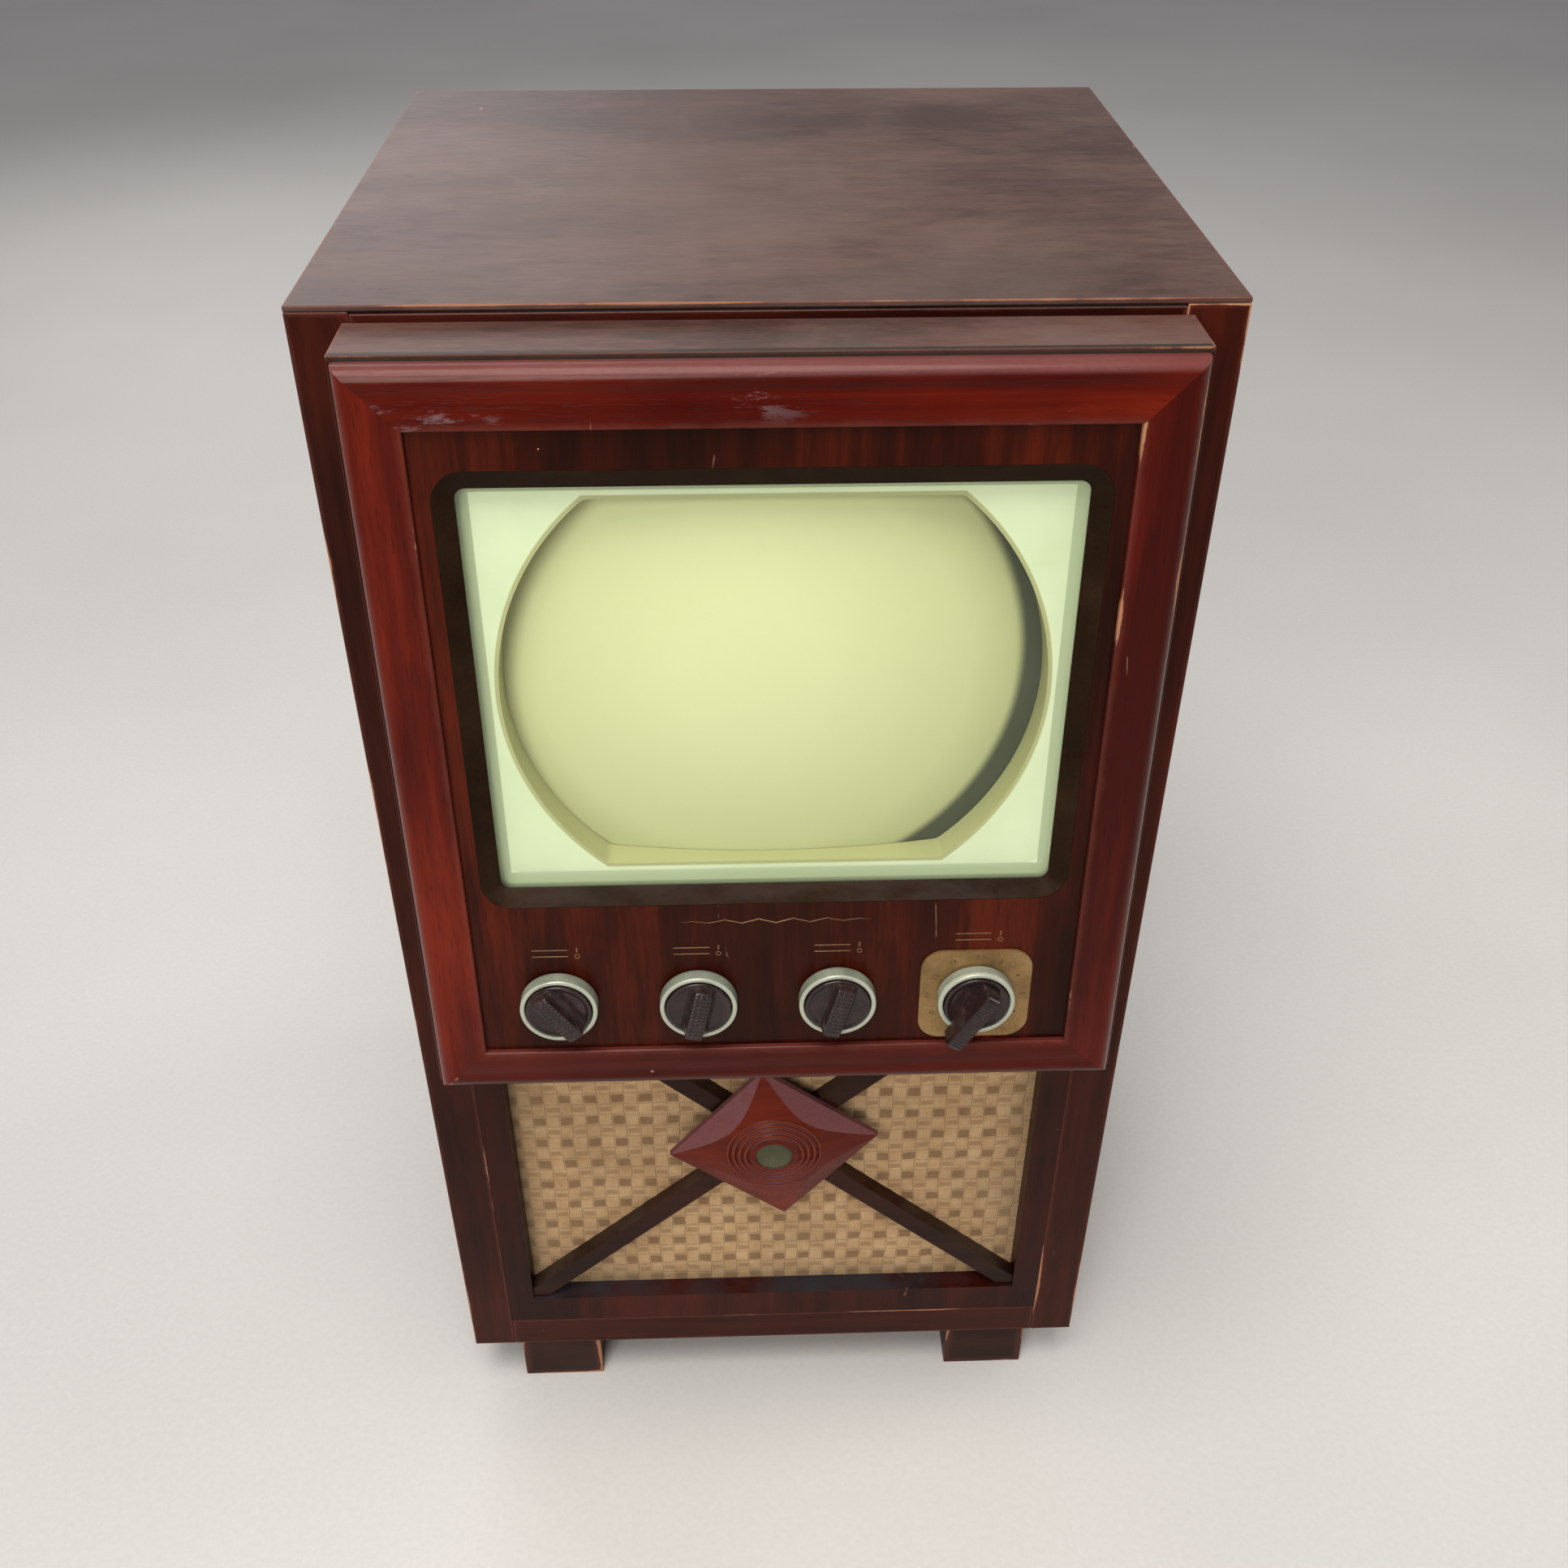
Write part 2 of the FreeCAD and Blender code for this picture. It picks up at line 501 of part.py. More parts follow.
def window():
    """The bevelled liner, the safety glass and the mask in front of the tube."""
    front = size("panel_recess") - size("bezel_rise")
    top, height, half = -size("window_drop"), size("window_height"), size("window_width") / 2
    middle = top - height / 2
    sight, sight_half = size("sight_height") / 2, size("sight_width") / 2
    radius, depth = size("sight_radius"), size("bevel_depth")
    back = front + size("liner_thickness")
    land = 0.4
    rim = Part.Face(rounded_loop(half - 0.1, top - 0.1, top - height + 0.1, size("window_radius"), front))
    liner = rim.extrude(Vector(0, back - front, 0))
    wide_radius = size("window_radius") - land
    wide = rounded_loop(half - land, top - land, top - height + land, wide_radius, front - 0.01)
    narrow = rounded_loop(sight_half, middle + sight, middle - sight, radius, front + depth)
    liner = liner.cut(Part.makeLoft([wide, narrow], True))
    liner = liner.cut(Part.Face(narrow).extrude(Vector(0, back, 0)))
    shaped("window_liner", liner, PANEL)

    side = "(window_width / 2 - 1)"
    glass_front = f"({PANEL_FRONT} + liner_thickness)"
    keep("safety_glass", prism(
        "glass_plate", "XZ_Plane",
        [(f"-{side}", f"-{WINDOW_MIDDLE} - window_height / 2 + 1"),
         (side, f"-{WINDOW_MIDDLE} - window_height / 2 + 1"),
         (side, "-window_drop - 1"), (f"-{side}", "-window_drop - 1")],
        glass_front, f"{glass_front} + glass_thickness", corner="window_radius - 1", frame=PANEL))

    face = back + size("glass_thickness") + size("mask_gap")
    margin, rim_width, dish = size("mask_margin"), size("mask_rim"), size("mask_dish")
    outer = rounded_loop(half + margin, top + margin, top - height - margin, radius + margin, face)
    mask = Part.Face(outer).extrude(Vector(0, size("mask_thickness"), 0))
    start = rounded_loop(sight_half + 1, middle + sight + 1, middle - sight - 1, radius + 1, face - 0.01)
    end = rounded_loop(sight_half - rim_width, middle + sight - rim_width, middle - sight + rim_width,
                       radius, face + dish)
    mask = mask.cut(Part.makeLoft([start, end], True))

    def porthole(grow, near, far):
        """A circle with its top and bottom cut flat, carried from near to far."""
        start, along = Vector(0, near, middle), Vector(0, 1, 0)
        round_part = Part.makeCylinder(size("mask_radius") + grow, far - near, start, along)
        flat = size("mask_flat") + grow
        square = Part.makeBox(4 * flat, far - near, 2 * flat, Vector(-2 * flat, near, middle - flat))
        solid = round_part.common(square)
        corners = [edge for edge in solid.Edges if abs(edge.tangentAt(edge.FirstParameter).y) > 0.99
                   and abs(abs(edge.Vertexes[0].Z - middle) - flat) < 0.01]
        return solid.makeFillet(size("mask_corner") + grow, corners)

    wall = size("mask_wall")
    deep = size("glass_wall") + size("mask_radius") ** 2 / (2 * size("face_radius")) + 12
    mask = mask.fuse(porthole(wall, face + dish, face + deep)).cut(porthole(0, face - 1, face + deep + 1))
    bulb_face = front + size("liner_thickness") + size("glass_thickness") + size("tube_gap")
    ball = Part.makeSphere(size("face_radius") + 0.6, Vector(0, bulb_face + size("face_radius"), middle))
    shaped("picture_mask", mask.cut(ball), PANEL)


def bulb(shrink):
    """The picture tube's outline swept round its axis, made smaller by shrink all over."""
    face_radius, radius = size("face_radius") - shrink, size("tube_diameter") / 2 - shrink
    neck = size("neck_diameter") / 2 - shrink / 3
    length = size("tube_length") - size("base_length") - size("pin_length")
    skirt, neck_start = size("skirt_length"), length - size("neck_length") + size("base_length")

    def face(r):
        return (r, face_radius - math.sqrt(face_radius ** 2 - r ** 2) + shrink, 0)

    end = length - shrink / 2
    points = [(radius, skirt, 0), (neck, neck_start, 0), (neck, end, 0), (0, end, 0)]
    edges = [arc(face(0), face(radius / 2), face(radius)), line(face(radius), points[0])]
    edges += [line(a, b) for a, b in zip(points, points[1:])]
    edges.append(line(points[-1], face(0)))
    solid = Part.Face(Part.Wire(edges)).revolve(Vector(), Vector(0, 1, 0), 360)
    solid = solid if solid.ShapeType == "Solid" else Part.Solid(solid.Shells[0])
    for place_along, bend in ((face(radius)[1], 11), (skirt, 40), (neck_start, 45)):
        rims = [edge for edge in solid.Edges if not edge.Degenerated and isinstance(edge.Curve, Part.Circle)
                and abs(edge.Curve.Center.y - place_along) < 0.01 and edge.Curve.Radius > neck - 0.01]
        solid = solid.makeFillet(bend, rims[:1])
    return solid


def picture_tube():
    """The picture tube with its base, yoke, focus coil and clamp, on one leaning axis."""
    axis = f"{PANEL} * {place(y=FACE_DEPTH, z='-' + WINDOW_MIDDLE)}"
    shaped("picture_tube", bulb(0).cut(bulb(size("glass_wall"))), axis)
    end = "(tube_length - base_length - pin_length)"
    shell, tail = "neck_diameter / 2 - 0.5", f"{end} + base_length"
    core = turned("base_shell", [("0", end), (shell, end), (shell, tail), ("0", tail)])
    key = rod("base_key", "3.5", ("0", f"{end} + base_length - 1", "0"), "pin_length + 1")
    pins = []
    for number in range(5):
        turn = f"{number} * 45 - 90"
        spot = (f"12.5 * cos({turn})", f"{end} + base_length - 1", f"12.5 * sin({turn})")
        pins.append(rod(f"base_pin{number}", "1.2", spot, "pin_length + 1"))
    keep("tube_base", joined("base_pieces", [core, key] + pins), axis)

    neck_start = "(tube_length - pin_length - neck_length)"
    bore = "(neck_diameter / 2 + 1)"
    yoke_end = f"({neck_start} + yoke_length - 18)"
    flare = f"({neck_start} - 18)"
    keep("deflection_yoke", turned("yoke", [
        (f"{bore} + 16", flare), ("yoke_diameter / 2", flare), ("yoke_diameter / 2", yoke_end),
        (bore, yoke_end), (bore, f"{neck_start} + 16")]), axis)
    coil_start = f"({yoke_end} + 15)"
    keep("focus_coil", turned("coil", [
        (bore, coil_start), ("coil_diameter / 2", coil_start),
        ("coil_diameter / 2", f"{coil_start} + coil_length"), (bore, f"{coil_start} + coil_length")]), axis)

    seat = "(tube_diameter / 2 + 0.3)"
    start, stop = "(skirt_length - 4 - clamp_width)", "(skirt_length - 4)"
    band = turned("clamp_band", [
        (seat, start), (f"{seat} + clamp_thickness", start),
        (f"{seat} + clamp_thickness", stop), (seat, stop)])
    legs = []
    reach = "(mask_gap + mask_thickness - tube_gap)"
    for number, turn in enumerate((35, 145, 215, 325)):
        lean = place(turn=str(turn))
        legs.append(block(f"clamp_leg{number}", (f"{seat} + 0.5", reach, "-clamp_leg / 2"),
                          (f"{seat} + clamp_leg / 2", stop, "clamp_leg / 2"), lean))
    keep("tube_clamp", joined("clamp", [band] + legs), axis)


def controls():
    """Four double controls: a bar knob inside a ring knob, each with its own shaft."""
    names = [("horizontal_hold", "vertical_hold_ring", "hold_turn"),
             ("contrast", "brightness_ring", "contrast_turn"),
             ("volume", "focus_ring", "volume_turn"), ("channel", "fine_tuning_ring", "channel_turn")]
    sleeve, shaft = "sleeve_diameter / 2", "shaft_diameter / 2"
    bore, outer = f"({shaft} + running_gap)", "ring_diameter / 2"
    inner = "(ring_diameter / 2 - ring_wall)"
    disc = f"({inner} - 0.3)"
    pots = []
    for number, (knob, ring, turn) in enumerate(names):
        tuner = knob == "channel"
        lift = "plate_thickness" if tuner else "0"
        spot = place(KNOB_PLACES[number], PANEL_FRONT, "-knob_drop")
        centre = f"{PANEL} * {spot}"
        turned_centre = f"{centre} * {place(turn=f'-({turn})')}"
        seat = f"(-{lift} - ring_gap)"
        front = f"({seat} - ring_length)"
        sleeve_end = "(panel_thickness + 10)"
        keep(ring, turned(f"{ring}_turning", [
            (bore, sleeve_end), (sleeve, sleeve_end), (sleeve, seat), (f"{outer} - 0.4", seat),
            (outer, f"{seat} - 0.4"), (outer, f"{front} + 0.6"), (f"{outer} - 0.6", front),
            (f"{inner} + 0.5", front), (inner, f"{front} + 0.5"), (inner, f"{seat} - ring_web"),
            (bore, f"{seat} - ring_web")]), centre)

        back, face = f"({seat} - ring_web - knob_gap)", f"({front} - knob_proud)"
        plate = turned(f"{knob}_disc", [
            ("0", back), (disc, back), (disc, f"{face} + 0.8"), (f"{disc} - 0.8", face), ("0", face)])
        top, rise = ("pointer_top", "pointer_rise") if tuner else ("bar_top", "bar_rise")
        low, high = ("-pointer_long", "pointer_short") if tuner else ("-bar_span / 2", "bar_span / 2")
        grip = prism(f"{knob}_grip", "XY_Plane", [
            ("-bar_foot / 2", face), ("bar_foot / 2", face),
            (f"{top} / 2", f"{face} - {rise}"), (f"-{top} / 2", f"{face} - {rise}")], low, high)
        blank = joined(f"{knob}_blank", [plate, grip])
        if not tuner:
            limit = rod(f"{knob}_limit", disc, ("0", f"{face} - {rise} - 1", "0"),
                        f"{rise} + ring_length + 1")
            blank = joined(f"{knob}_round", [blank, limit], "Part::MultiCommon")
        socket = rod(f"{knob}_socket", shaft, ("0", f"{face} + 1", "0"), "ring_length")
        keep(f"{knob}_knob", cut(f"{knob}_bored", blank, socket), turned_centre)

        shaft_end = "(panel_thickness + tuner_length + 2)" if tuner else "(panel_thickness + 18)"
        keep(f"{knob}_shaft", rod(f"{knob}_rod", shaft, ("0", f"{face} + 1", "0"),
                                  f"{shaft_end} - ({face} + 1)", centre))
        if tuner:
            continue
        bush = rod(f"pot{number}_bush", "bushing_diameter / 2", ("0", "0", "0"), "panel_thickness + 1")
        can = rod(f"pot{number}_can", "pot_diameter / 2", ("0", "panel_thickness", "0"), "pot_length")
        wide = rod(f"pot{number}_wide", f"{sleeve} + running_gap", ("0", "-1", "0"), f"{sleeve_end} + 1.5")
        narrow = rod(f"pot{number}_narrow", bore, ("0", "-1", "0"), f"{shaft_end} + 1.5")
        solid = joined(f"pot{number}_solid", [bush, can])
        pots.append(cut(f"pot{number}", solid, joined(f"pot{number}_bores", [wide, narrow])))
        bind(pots[-1], "Placement", centre)
    keep("control_pots", joined("pots", pots, "Part::Compound"))

    tuning(centre, sleeve, bore, shaft)
    corner = "plate_size / 2"
    plate = prism("plate_blank", "XZ_Plane",
                  [(f"-{corner}", f"-{corner}"), (corner, f"-{corner}"),
                   (corner, corner), (f"-{corner}", corner)],
                  "-plate_thickness", "0", corner="plate_corner")
    hole = rod("plate_hole", f"{sleeve} + 0.5", ("0", "-plate_thickness - 1", "0"), "plate_thickness + 2")
    keep("channel_plate", cut("plate", plate, hole), centre)


def tuning(centre, sleeve, bore, shaft):
    """The tuner: a screened box behind the panel with a coil drum on the channel shaft."""
    half, tall = "tuner_width / 2", "tuner_height / 2"
    near, far = "panel_thickness", "(panel_thickness + tuner_length)"
    shell = block("tuner_shell", (f"-{half}", near, f"-{tall}"), (half, far, tall))
    hollow = block("tuner_hollow", (f"sheet - {half}", f"{near} + sheet", f"sheet - {tall}"),
                   (f"{half} - sheet", f"{far} - sheet", f"{tall} - sheet"))
    bush = rod("tuner_bush", "bushing_diameter / 2", ("0", "0", "0"), f"{near} + sheet")
    box = joined("tuner_body", [cut("tuner_can", shell, hollow), bush])
    wide = rod("tuner_wide", f"{sleeve} + running_gap", ("0", "-1", "0"), f"{near} + 12")
    narrow = rod("tuner_narrow", bore, ("0", "-1", "0"), f"{far} + 2")
    keep("tuner_box", cut("tuner", box, joined("tuner_bores", [wide, narrow])), centre)
    start, stop = "(panel_thickness + 13)", "(panel_thickness + tuner_length - 5)"
    keep("tuner_drum", turned("drum", [
        (shaft, start), ("drum_diameter / 2", start), ("drum_diameter / 2", stop), (shaft, stop)]), centre)


def chassis():
    """The chassis on its shelf, with the transformer, high-voltage cage and small tubes."""
    start = f"({FRONT} + chassis_setback)"
    half, back = "chassis_width / 2", f"({start} + chassis_depth)"
    pan = block("pan", (f"-{half}", start, SHELF_TOP), (half, back, CHASSIS_TOP))
    hollow = block("pan_hollow", (f"sheet - {half}", f"{start} + sheet", f"{SHELF_TOP} - 1"),
                   (f"{half} - sheet", f"{back} - sheet", f"{CHASSIS_TOP} - sheet"))
    keep("tv_chassis", cut("pan_sheet", pan, hollow))

    near, far = f"(5 - {half})", f"(5 + transformer_width - {half})"
    core = block("transformer_core", (near, f"{back} - 120", CHASSIS_TOP),
                 (far, f"{back} - 50", f"{CHASSIS_TOP} + transformer_height"))
    bell = block("transformer_bell", (f"{near} + bell_inset", f"{back} - 140", f"{CHASSIS_TOP} + bell_inset"),
                 (f"{far} - bell_inset", f"{back} - 30", f"{CHASSIS_TOP} + transformer_height - bell_inset"))
    keep("power_transformer", joined("transformer", [core, bell]))

    near, far = f"({half} - 4 - cage_width)", f"({half} - 4)"
    first, last = f"({back} - 40 - cage_depth)", f"({back} - 40)"
    cage = block("cage", (near, first, CHASSIS_TOP), (far, last, f"{CHASSIS_TOP} + cage_height"))
    inside = block("cage_inside", (f"{near} + sheet", f"{first} + sheet", f"{CHASSIS_TOP} - 1"),
                   (f"{far} - sheet", f"{last} - sheet", f"{CHASSIS_TOP} + cage_height - sheet"))
    keep("high_voltage_cage", cut("cage_sheet", cage, inside))

    valves = []
    spots = [(-150, 40), (-150, 100), (150, 40), (150, 100), (-50, 275), (0, 280), (50, 275)]
    for across, along in spots:
        valve = doc.addObject("Part::Cylinder", f"valve{len(valves)}")
        bind(valve, "Radius", "valve_diameter / 2")
        bind(valve, "Height", "valve_height")
        x, y = f"{across} * chassis_width / 350", f"{start} + {along} * chassis_depth / 300"
        bind(valve, "Placement", place(x, y, CHASSIS_TOP))
        dome = doc.addObject("Part::Sphere", f"valve_dome{len(valves)}")
        bind(dome, "Radius", "valve_diameter / 2")
        bind(dome, "Placement", place(x, y, f"{CHASSIS_TOP} + valve_height"))
        valves.append(joined(f"valve_glass{len(valves)}", [valve, dome]))
    keep("vacuum_tubes", joined("valves", valves, "Part::Compound"))


def speaker():
    """The loudspeaker behind the baffle: pressed frame with its magnet, and the paper cone."""
    middle = f"({OPEN_LOW} + grille_height / 2)"
    spot = place(z=middle, y=f"{BEHIND} + cloth_thickness + baffle_thickness")
    rim, deep = "speaker_diameter / 2", "speaker_depth"
    magnet, face = "magnet_diameter / 2", f"{deep} - magnet_length"
    keep("speaker_frame", turned("speaker_basket", [
        (f"{rim} - 13", "0"), (rim, "0"), (rim, "sheet"), (f"{rim} - 11", "sheet"), (magnet, face),
        (magnet, deep), ("0", deep), ("0", f"{face} + 2"), (f"{magnet} - 2", face)]), spot)
    throat = "throat_diameter / 2"
    keep("speaker_cone", turned("speaker_paper", [
        (f"{rim} - 15", "0"), (f"{rim} - 14", "0"), (throat, f"{face} - 10"), ("0", f"{face} - 14"),
        ("0", f"{face} - 15"), (throat, f"{face} - 11")]), spot)


def back():
    """The vented back cover with its cup, screws, mains inlet and aerial strip."""
    half = f"({HALF} - board + back_rebate - fit_gap)"
    low, high = "(foot_height + board - back_rebate + fit_gap)", f"({TOP} - board + back_rebate - fit_gap)"
    outside = f"({BACK} - back_inset)"
    inside = f"({outside} - back_thickness)"
    fall = "tan(panel_tilt) * (cabinet_depth + edge_reach)"
    neck = f"({LIP_BOTTOM} - {WINDOW_MIDDLE} / cos(panel_tilt) - {fall})"
    cover = block("cover_board", (f"-{half}", inside, low), (half, outside, high))
    tools = [rod("cover_mouth", "cup_diameter / 2 - 4", ("0", f"{inside} - 1", neck), "back_thickness + 2")]
    rows = [f"{low} + 60", f"{low} + 60 + vent_pitch", f"{low} + 60 + 2 * vent_pitch",
            f"{high} - 38 - vent_pitch", f"{high} - 38"]
    for row, height in enumerate(rows):
        for column in range(7):
            x = f"({column - 3} * 0.2 * {half})"
            tools.append(block(f"vent{row}_{column}", (f"{x} - vent_length / 2", f"{inside} - 1", height),
                               (f"{x} + vent_length / 2", f"{outside} + 1", f"{height} + vent_height")))
    screws = []
    edge = "(back_rebate / 2)"
    spots = [(f"{sign}({half} - {edge} + fit_gap)", f"{low} + {share} * ({high} - {low})")
             for sign in ("-", "") for share in (0.06, 0.35, 0.65, 0.94)]
    for number, (x, z) in enumerate(spots):
        tools.append(rod(f"screw_hole{number}", "screw_diameter / 2 + 0.4", (x, f"{inside} - 1", z),
                         "back_thickness + 2"))
        shank = rod(f"screw_shank{number}", "screw_diameter / 2", (x, f"{inside} - screw_length", z),
                    "back_thickness + screw_length + 1")
        edge_of_head = "screw_head / 2"
        head = turned(f"screw_head{number}", [
            ("0", "0"), (edge_of_head, "0"), (f"{edge_of_head} - 0.6", "screw_crown / 2"),
            (f"{edge_of_head} / 2", "0.9 * screw_crown"), ("0", "screw_crown")], place(x, outside, z))
        screws.append(joined(f"screw{number}", [shank, head]))
    keep("cover_screws", joined("screws", screws, "Part::Compound"))
    inlet_x, inlet_z = f"({half} * 0.55)", f"({low} + 30)"
    aerial_x, aerial_z = f"(-{half} * 0.6)", f"({low} + 0.62 * ({high} - {low}))"
    tools.append(block("inlet_hole", (f"{inlet_x} - 13", f"{inside} - 1", f"{inlet_z} - 8"),
                       (f"{inlet_x} + 13", f"{outside} + 1", f"{inlet_z} + 8")))
    keep("back_cover", cut("cover", cover, joined("cover_openings", tools, "Part::MultiFuse")))

    body = block("inlet_body", (f"{inlet_x} - 12.5", f"{inside} - 14", f"{inlet_z} - 7.5"),
                 (f"{inlet_x} + 12.5", f"{outside} + 2", f"{inlet_z} + 7.5"))
    flange = block("inlet_flange", (f"{inlet_x} - 20", outside, f"{inlet_z} - 11"),
                   (f"{inlet_x} + 20", f"{outside} + 2", f"{inlet_z} + 11"))
    recess = block("inlet_recess", (f"{inlet_x} - 9", f"{outside} - 8", f"{inlet_z} - 5"),
                   (f"{inlet_x} + 9", f"{outside} + 3", f"{inlet_z} + 5"))
    blades = [rod(f"inlet_pin{number}", "1.4", (f"{inlet_x} + {step}", f"{outside} - 9", inlet_z), "9")
              for number, step in enumerate((-4, 4))]
    shell = cut("inlet_shell", joined("inlet_block", [body, flange]), recess)
    keep("power_inlet", joined("inlet", [shell] + blades))

    strip = block("aerial_strip", (f"{aerial_x} - 22", outside, f"{aerial_z} - 9"),
                  (f"{aerial_x} + 22", f"{outside} + 4", f"{aerial_z} + 9"))
    posts = [rod(f"aerial_screw{number}", "3.6", (f"{aerial_x} + {step}", f"{outside} + 3", aerial_z), "4")
             for number, step in enumerate((-12, 12))]
    keep("antenna_terminals", joined("aerial", [strip] + posts))

    wall, depth = "1.5", "(back_inset + cup_reach)"
    rim = "cup_diameter / 2"
    keep("neck_cup", turned("cup", [
        (f"{rim} - {wall} - 0.2", "0"), (f"{rim} + 9", "0"), (f"{rim} + 9", wall), (rim, wall),
        (f"{rim} - 2.5", f"{depth} - 3"), (f"{rim} - 5.5", depth), ("0", depth), ("0", f"{depth} - {wall}"),
        (f"{rim} - 6", f"{depth} - {wall}"), (f"{rim} - 4", f"{depth} - 3.5")]), place(z=neck, y=outside))


case()
grille()
hood()
bezel()
panel_board()
window()
picture_tube()
controls()
chassis()
speaker()
back()
doc.recompute()

faults = [item.Name for item in doc.Objects if {"Invalid", "Error"} & set(item.State)]
faults += [name for name, item in pieces.items() if item.Shape.isNull() or not item.Shape.isValid()]
faults += [name for name, item in pieces.items() if not item.Shape.Solids]
if faults:
    raise RuntimeError("these did not build: " + ", ".join(sorted(set(faults))))
os.makedirs("parts", exist_ok=True)
for name, item in pieces.items():
    item.Shape.exportStep(f"parts/{name}.step")
box = Part.makeCompound([item.Shape for item in pieces.values()]).BoundBox
print(f"{len(pieces)} sub-parts, from {box.XMin:.2f} {box.YMin:.2f} {box.ZMin:.2f} to "
      f"{box.XMax:.2f} {box.YMax:.2f} {box.ZMax:.2f}")
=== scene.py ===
import bpy
import bmesh
import json
import math
import numpy as np
from mathutils import Matrix, Vector


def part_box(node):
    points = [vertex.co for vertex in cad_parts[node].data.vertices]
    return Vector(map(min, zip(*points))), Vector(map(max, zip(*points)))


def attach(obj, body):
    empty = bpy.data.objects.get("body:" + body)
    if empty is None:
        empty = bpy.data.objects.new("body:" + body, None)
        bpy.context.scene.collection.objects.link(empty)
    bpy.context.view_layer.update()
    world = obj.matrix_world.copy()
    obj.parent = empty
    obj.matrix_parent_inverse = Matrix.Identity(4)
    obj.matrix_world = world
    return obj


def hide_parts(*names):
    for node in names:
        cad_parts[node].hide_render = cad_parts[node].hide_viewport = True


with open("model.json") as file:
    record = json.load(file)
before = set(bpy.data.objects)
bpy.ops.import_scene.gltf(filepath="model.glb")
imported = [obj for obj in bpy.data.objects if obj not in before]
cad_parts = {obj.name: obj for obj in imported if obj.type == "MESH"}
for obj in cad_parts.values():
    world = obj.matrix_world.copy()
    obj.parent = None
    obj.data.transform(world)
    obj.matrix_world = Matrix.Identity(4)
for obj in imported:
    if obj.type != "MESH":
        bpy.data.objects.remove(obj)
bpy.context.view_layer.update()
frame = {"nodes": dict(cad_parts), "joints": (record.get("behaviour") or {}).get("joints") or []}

# A tube television in an upright mahogany case. Metres, X to the viewer's right, Y towards the back,
# Z up, the same frame as the CAD model. The screen and knobs sit on a board that leans back a little.

nodes = frame["nodes"]
mm = 0.001
print("frame loaded:", len(nodes), "nodes")


# the leaning board's own axes, taken from the controls' joints
knobJoints = {joint["child"]: joint for joint in frame["joints"]}
outward = np.array(knobJoints["contrast"]["axis"])
outward = outward / np.linalg.norm(outward)  # straight out of the board
upSlope = np.array((0.0, outward[2], -outward[1]))
lean = math.asin(outward[2])
knobSpots = {name: np.array(knobJoints[name]["pos_m"]) for name in knobJoints}


def onBoard(centre, x, out, up):
    # a point of the board: so far to the right, out of the board and up its slope from a centre
    x, out, up = np.broadcast_arrays(*(np.asarray(a, float) for a in (x, out, up)))
    return centre + x[..., None] * np.array((1.0, 0, 0)) + out[..., None] * outward + up[..., None] * upSlope


def slopeOf(point):
    # how far up the slope a point lies, from the floor's origin
    return float(np.dot(np.array(point), upSlope))


def depthOf(point):
    # how far into the case a point lies, square to the board
    return float(-np.dot(np.array(point), outward))


def addObject(name, data):
    # data in an object of its own, unturned at the origin
    piece = bpy.data.objects.new(name, data)
    bpy.context.scene.collection.objects.link(piece)
    return piece


def addPiece(name, mesh, material, body, replaced):
    # a mesh as a piece of the set: the body it moves with, the CAD nodes it stands for, and its slot
    mesh.materials.clear()
    mesh.materials.append(material)
    piece = addObject(name, mesh)
    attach(piece, body)
    if replaced:
        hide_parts(*replaced)
    return piece


# wires and finishes
def addNode(tree, kind, settings, sockets, out=0):
    new = tree.nodes.new(kind)
    for name, value in settings.items():
        if name == "stops":
            ramp = new.color_ramp
            while len(ramp.elements) < len(value):
                ramp.elements.new(0.5)
            for element, (spot, colour) in zip(ramp.elements, value):
                element.position = spot
                element.color = (*colour, 1.0)
        else:
            setattr(new, name, value)
    for key, value in sockets.items():
        if isinstance(value, Wire):
            tree.links.new(value.socket, new.inputs[key])
        else:
            new.inputs[key].default_value = value
    return Wire(tree, new.outputs[out]) if len(new.outputs) else None


class Wire:
    # a socket that takes part in sums: each operator adds the Math node that works it out
    def __init__(self, tree, socket):
        self.tree, self.socket = tree, socket

    def maths(self, operation, *values):
        return addNode(self.tree, "ShaderNodeMath", {"operation": operation}, dict(enumerate(values)))

    def __add__(self, other):
        return self.maths("ADD", self, other)

    def __sub__(self, other):
        return self.maths("SUBTRACT", self, other)

    def __rsub__(self, other):
        return self.maths("SUBTRACT", other, self)

    def __mul__(self, other):
        return self.maths("MULTIPLY", self, other)

    __radd__, __rmul__ = __add__, __mul__

    def __truediv__(self, other):
        return self.maths("DIVIDE", self, other)

    def __abs__(self):
        return self.maths("ABSOLUTE", self)

    def least(self, other):
        return self.maths("MINIMUM", self, other)

    def most(self, other):
        return self.maths("MAXIMUM", self, other)

    def power(self, other):
        return self.maths("POWER", self, other)

    def sine(self):
        return self.maths("SINE", self)

    def whole(self):
        return self.maths("FLOOR", self)

    def part(self):
        return self.maths("FRACT", self)

    def over(self, limit):
        return self.maths("GREATER_THAN", self, limit)

    def fade(self, low, high):
        # 0 at low, 1 at high, with a soft start and end; low may be the larger
        return addNode(self.tree, "ShaderNodeMapRange", {"interpolation_type": "SMOOTHSTEP"},
                       {0: self, 1: low, 2: high, 3: 0.0, 4: 1.0})


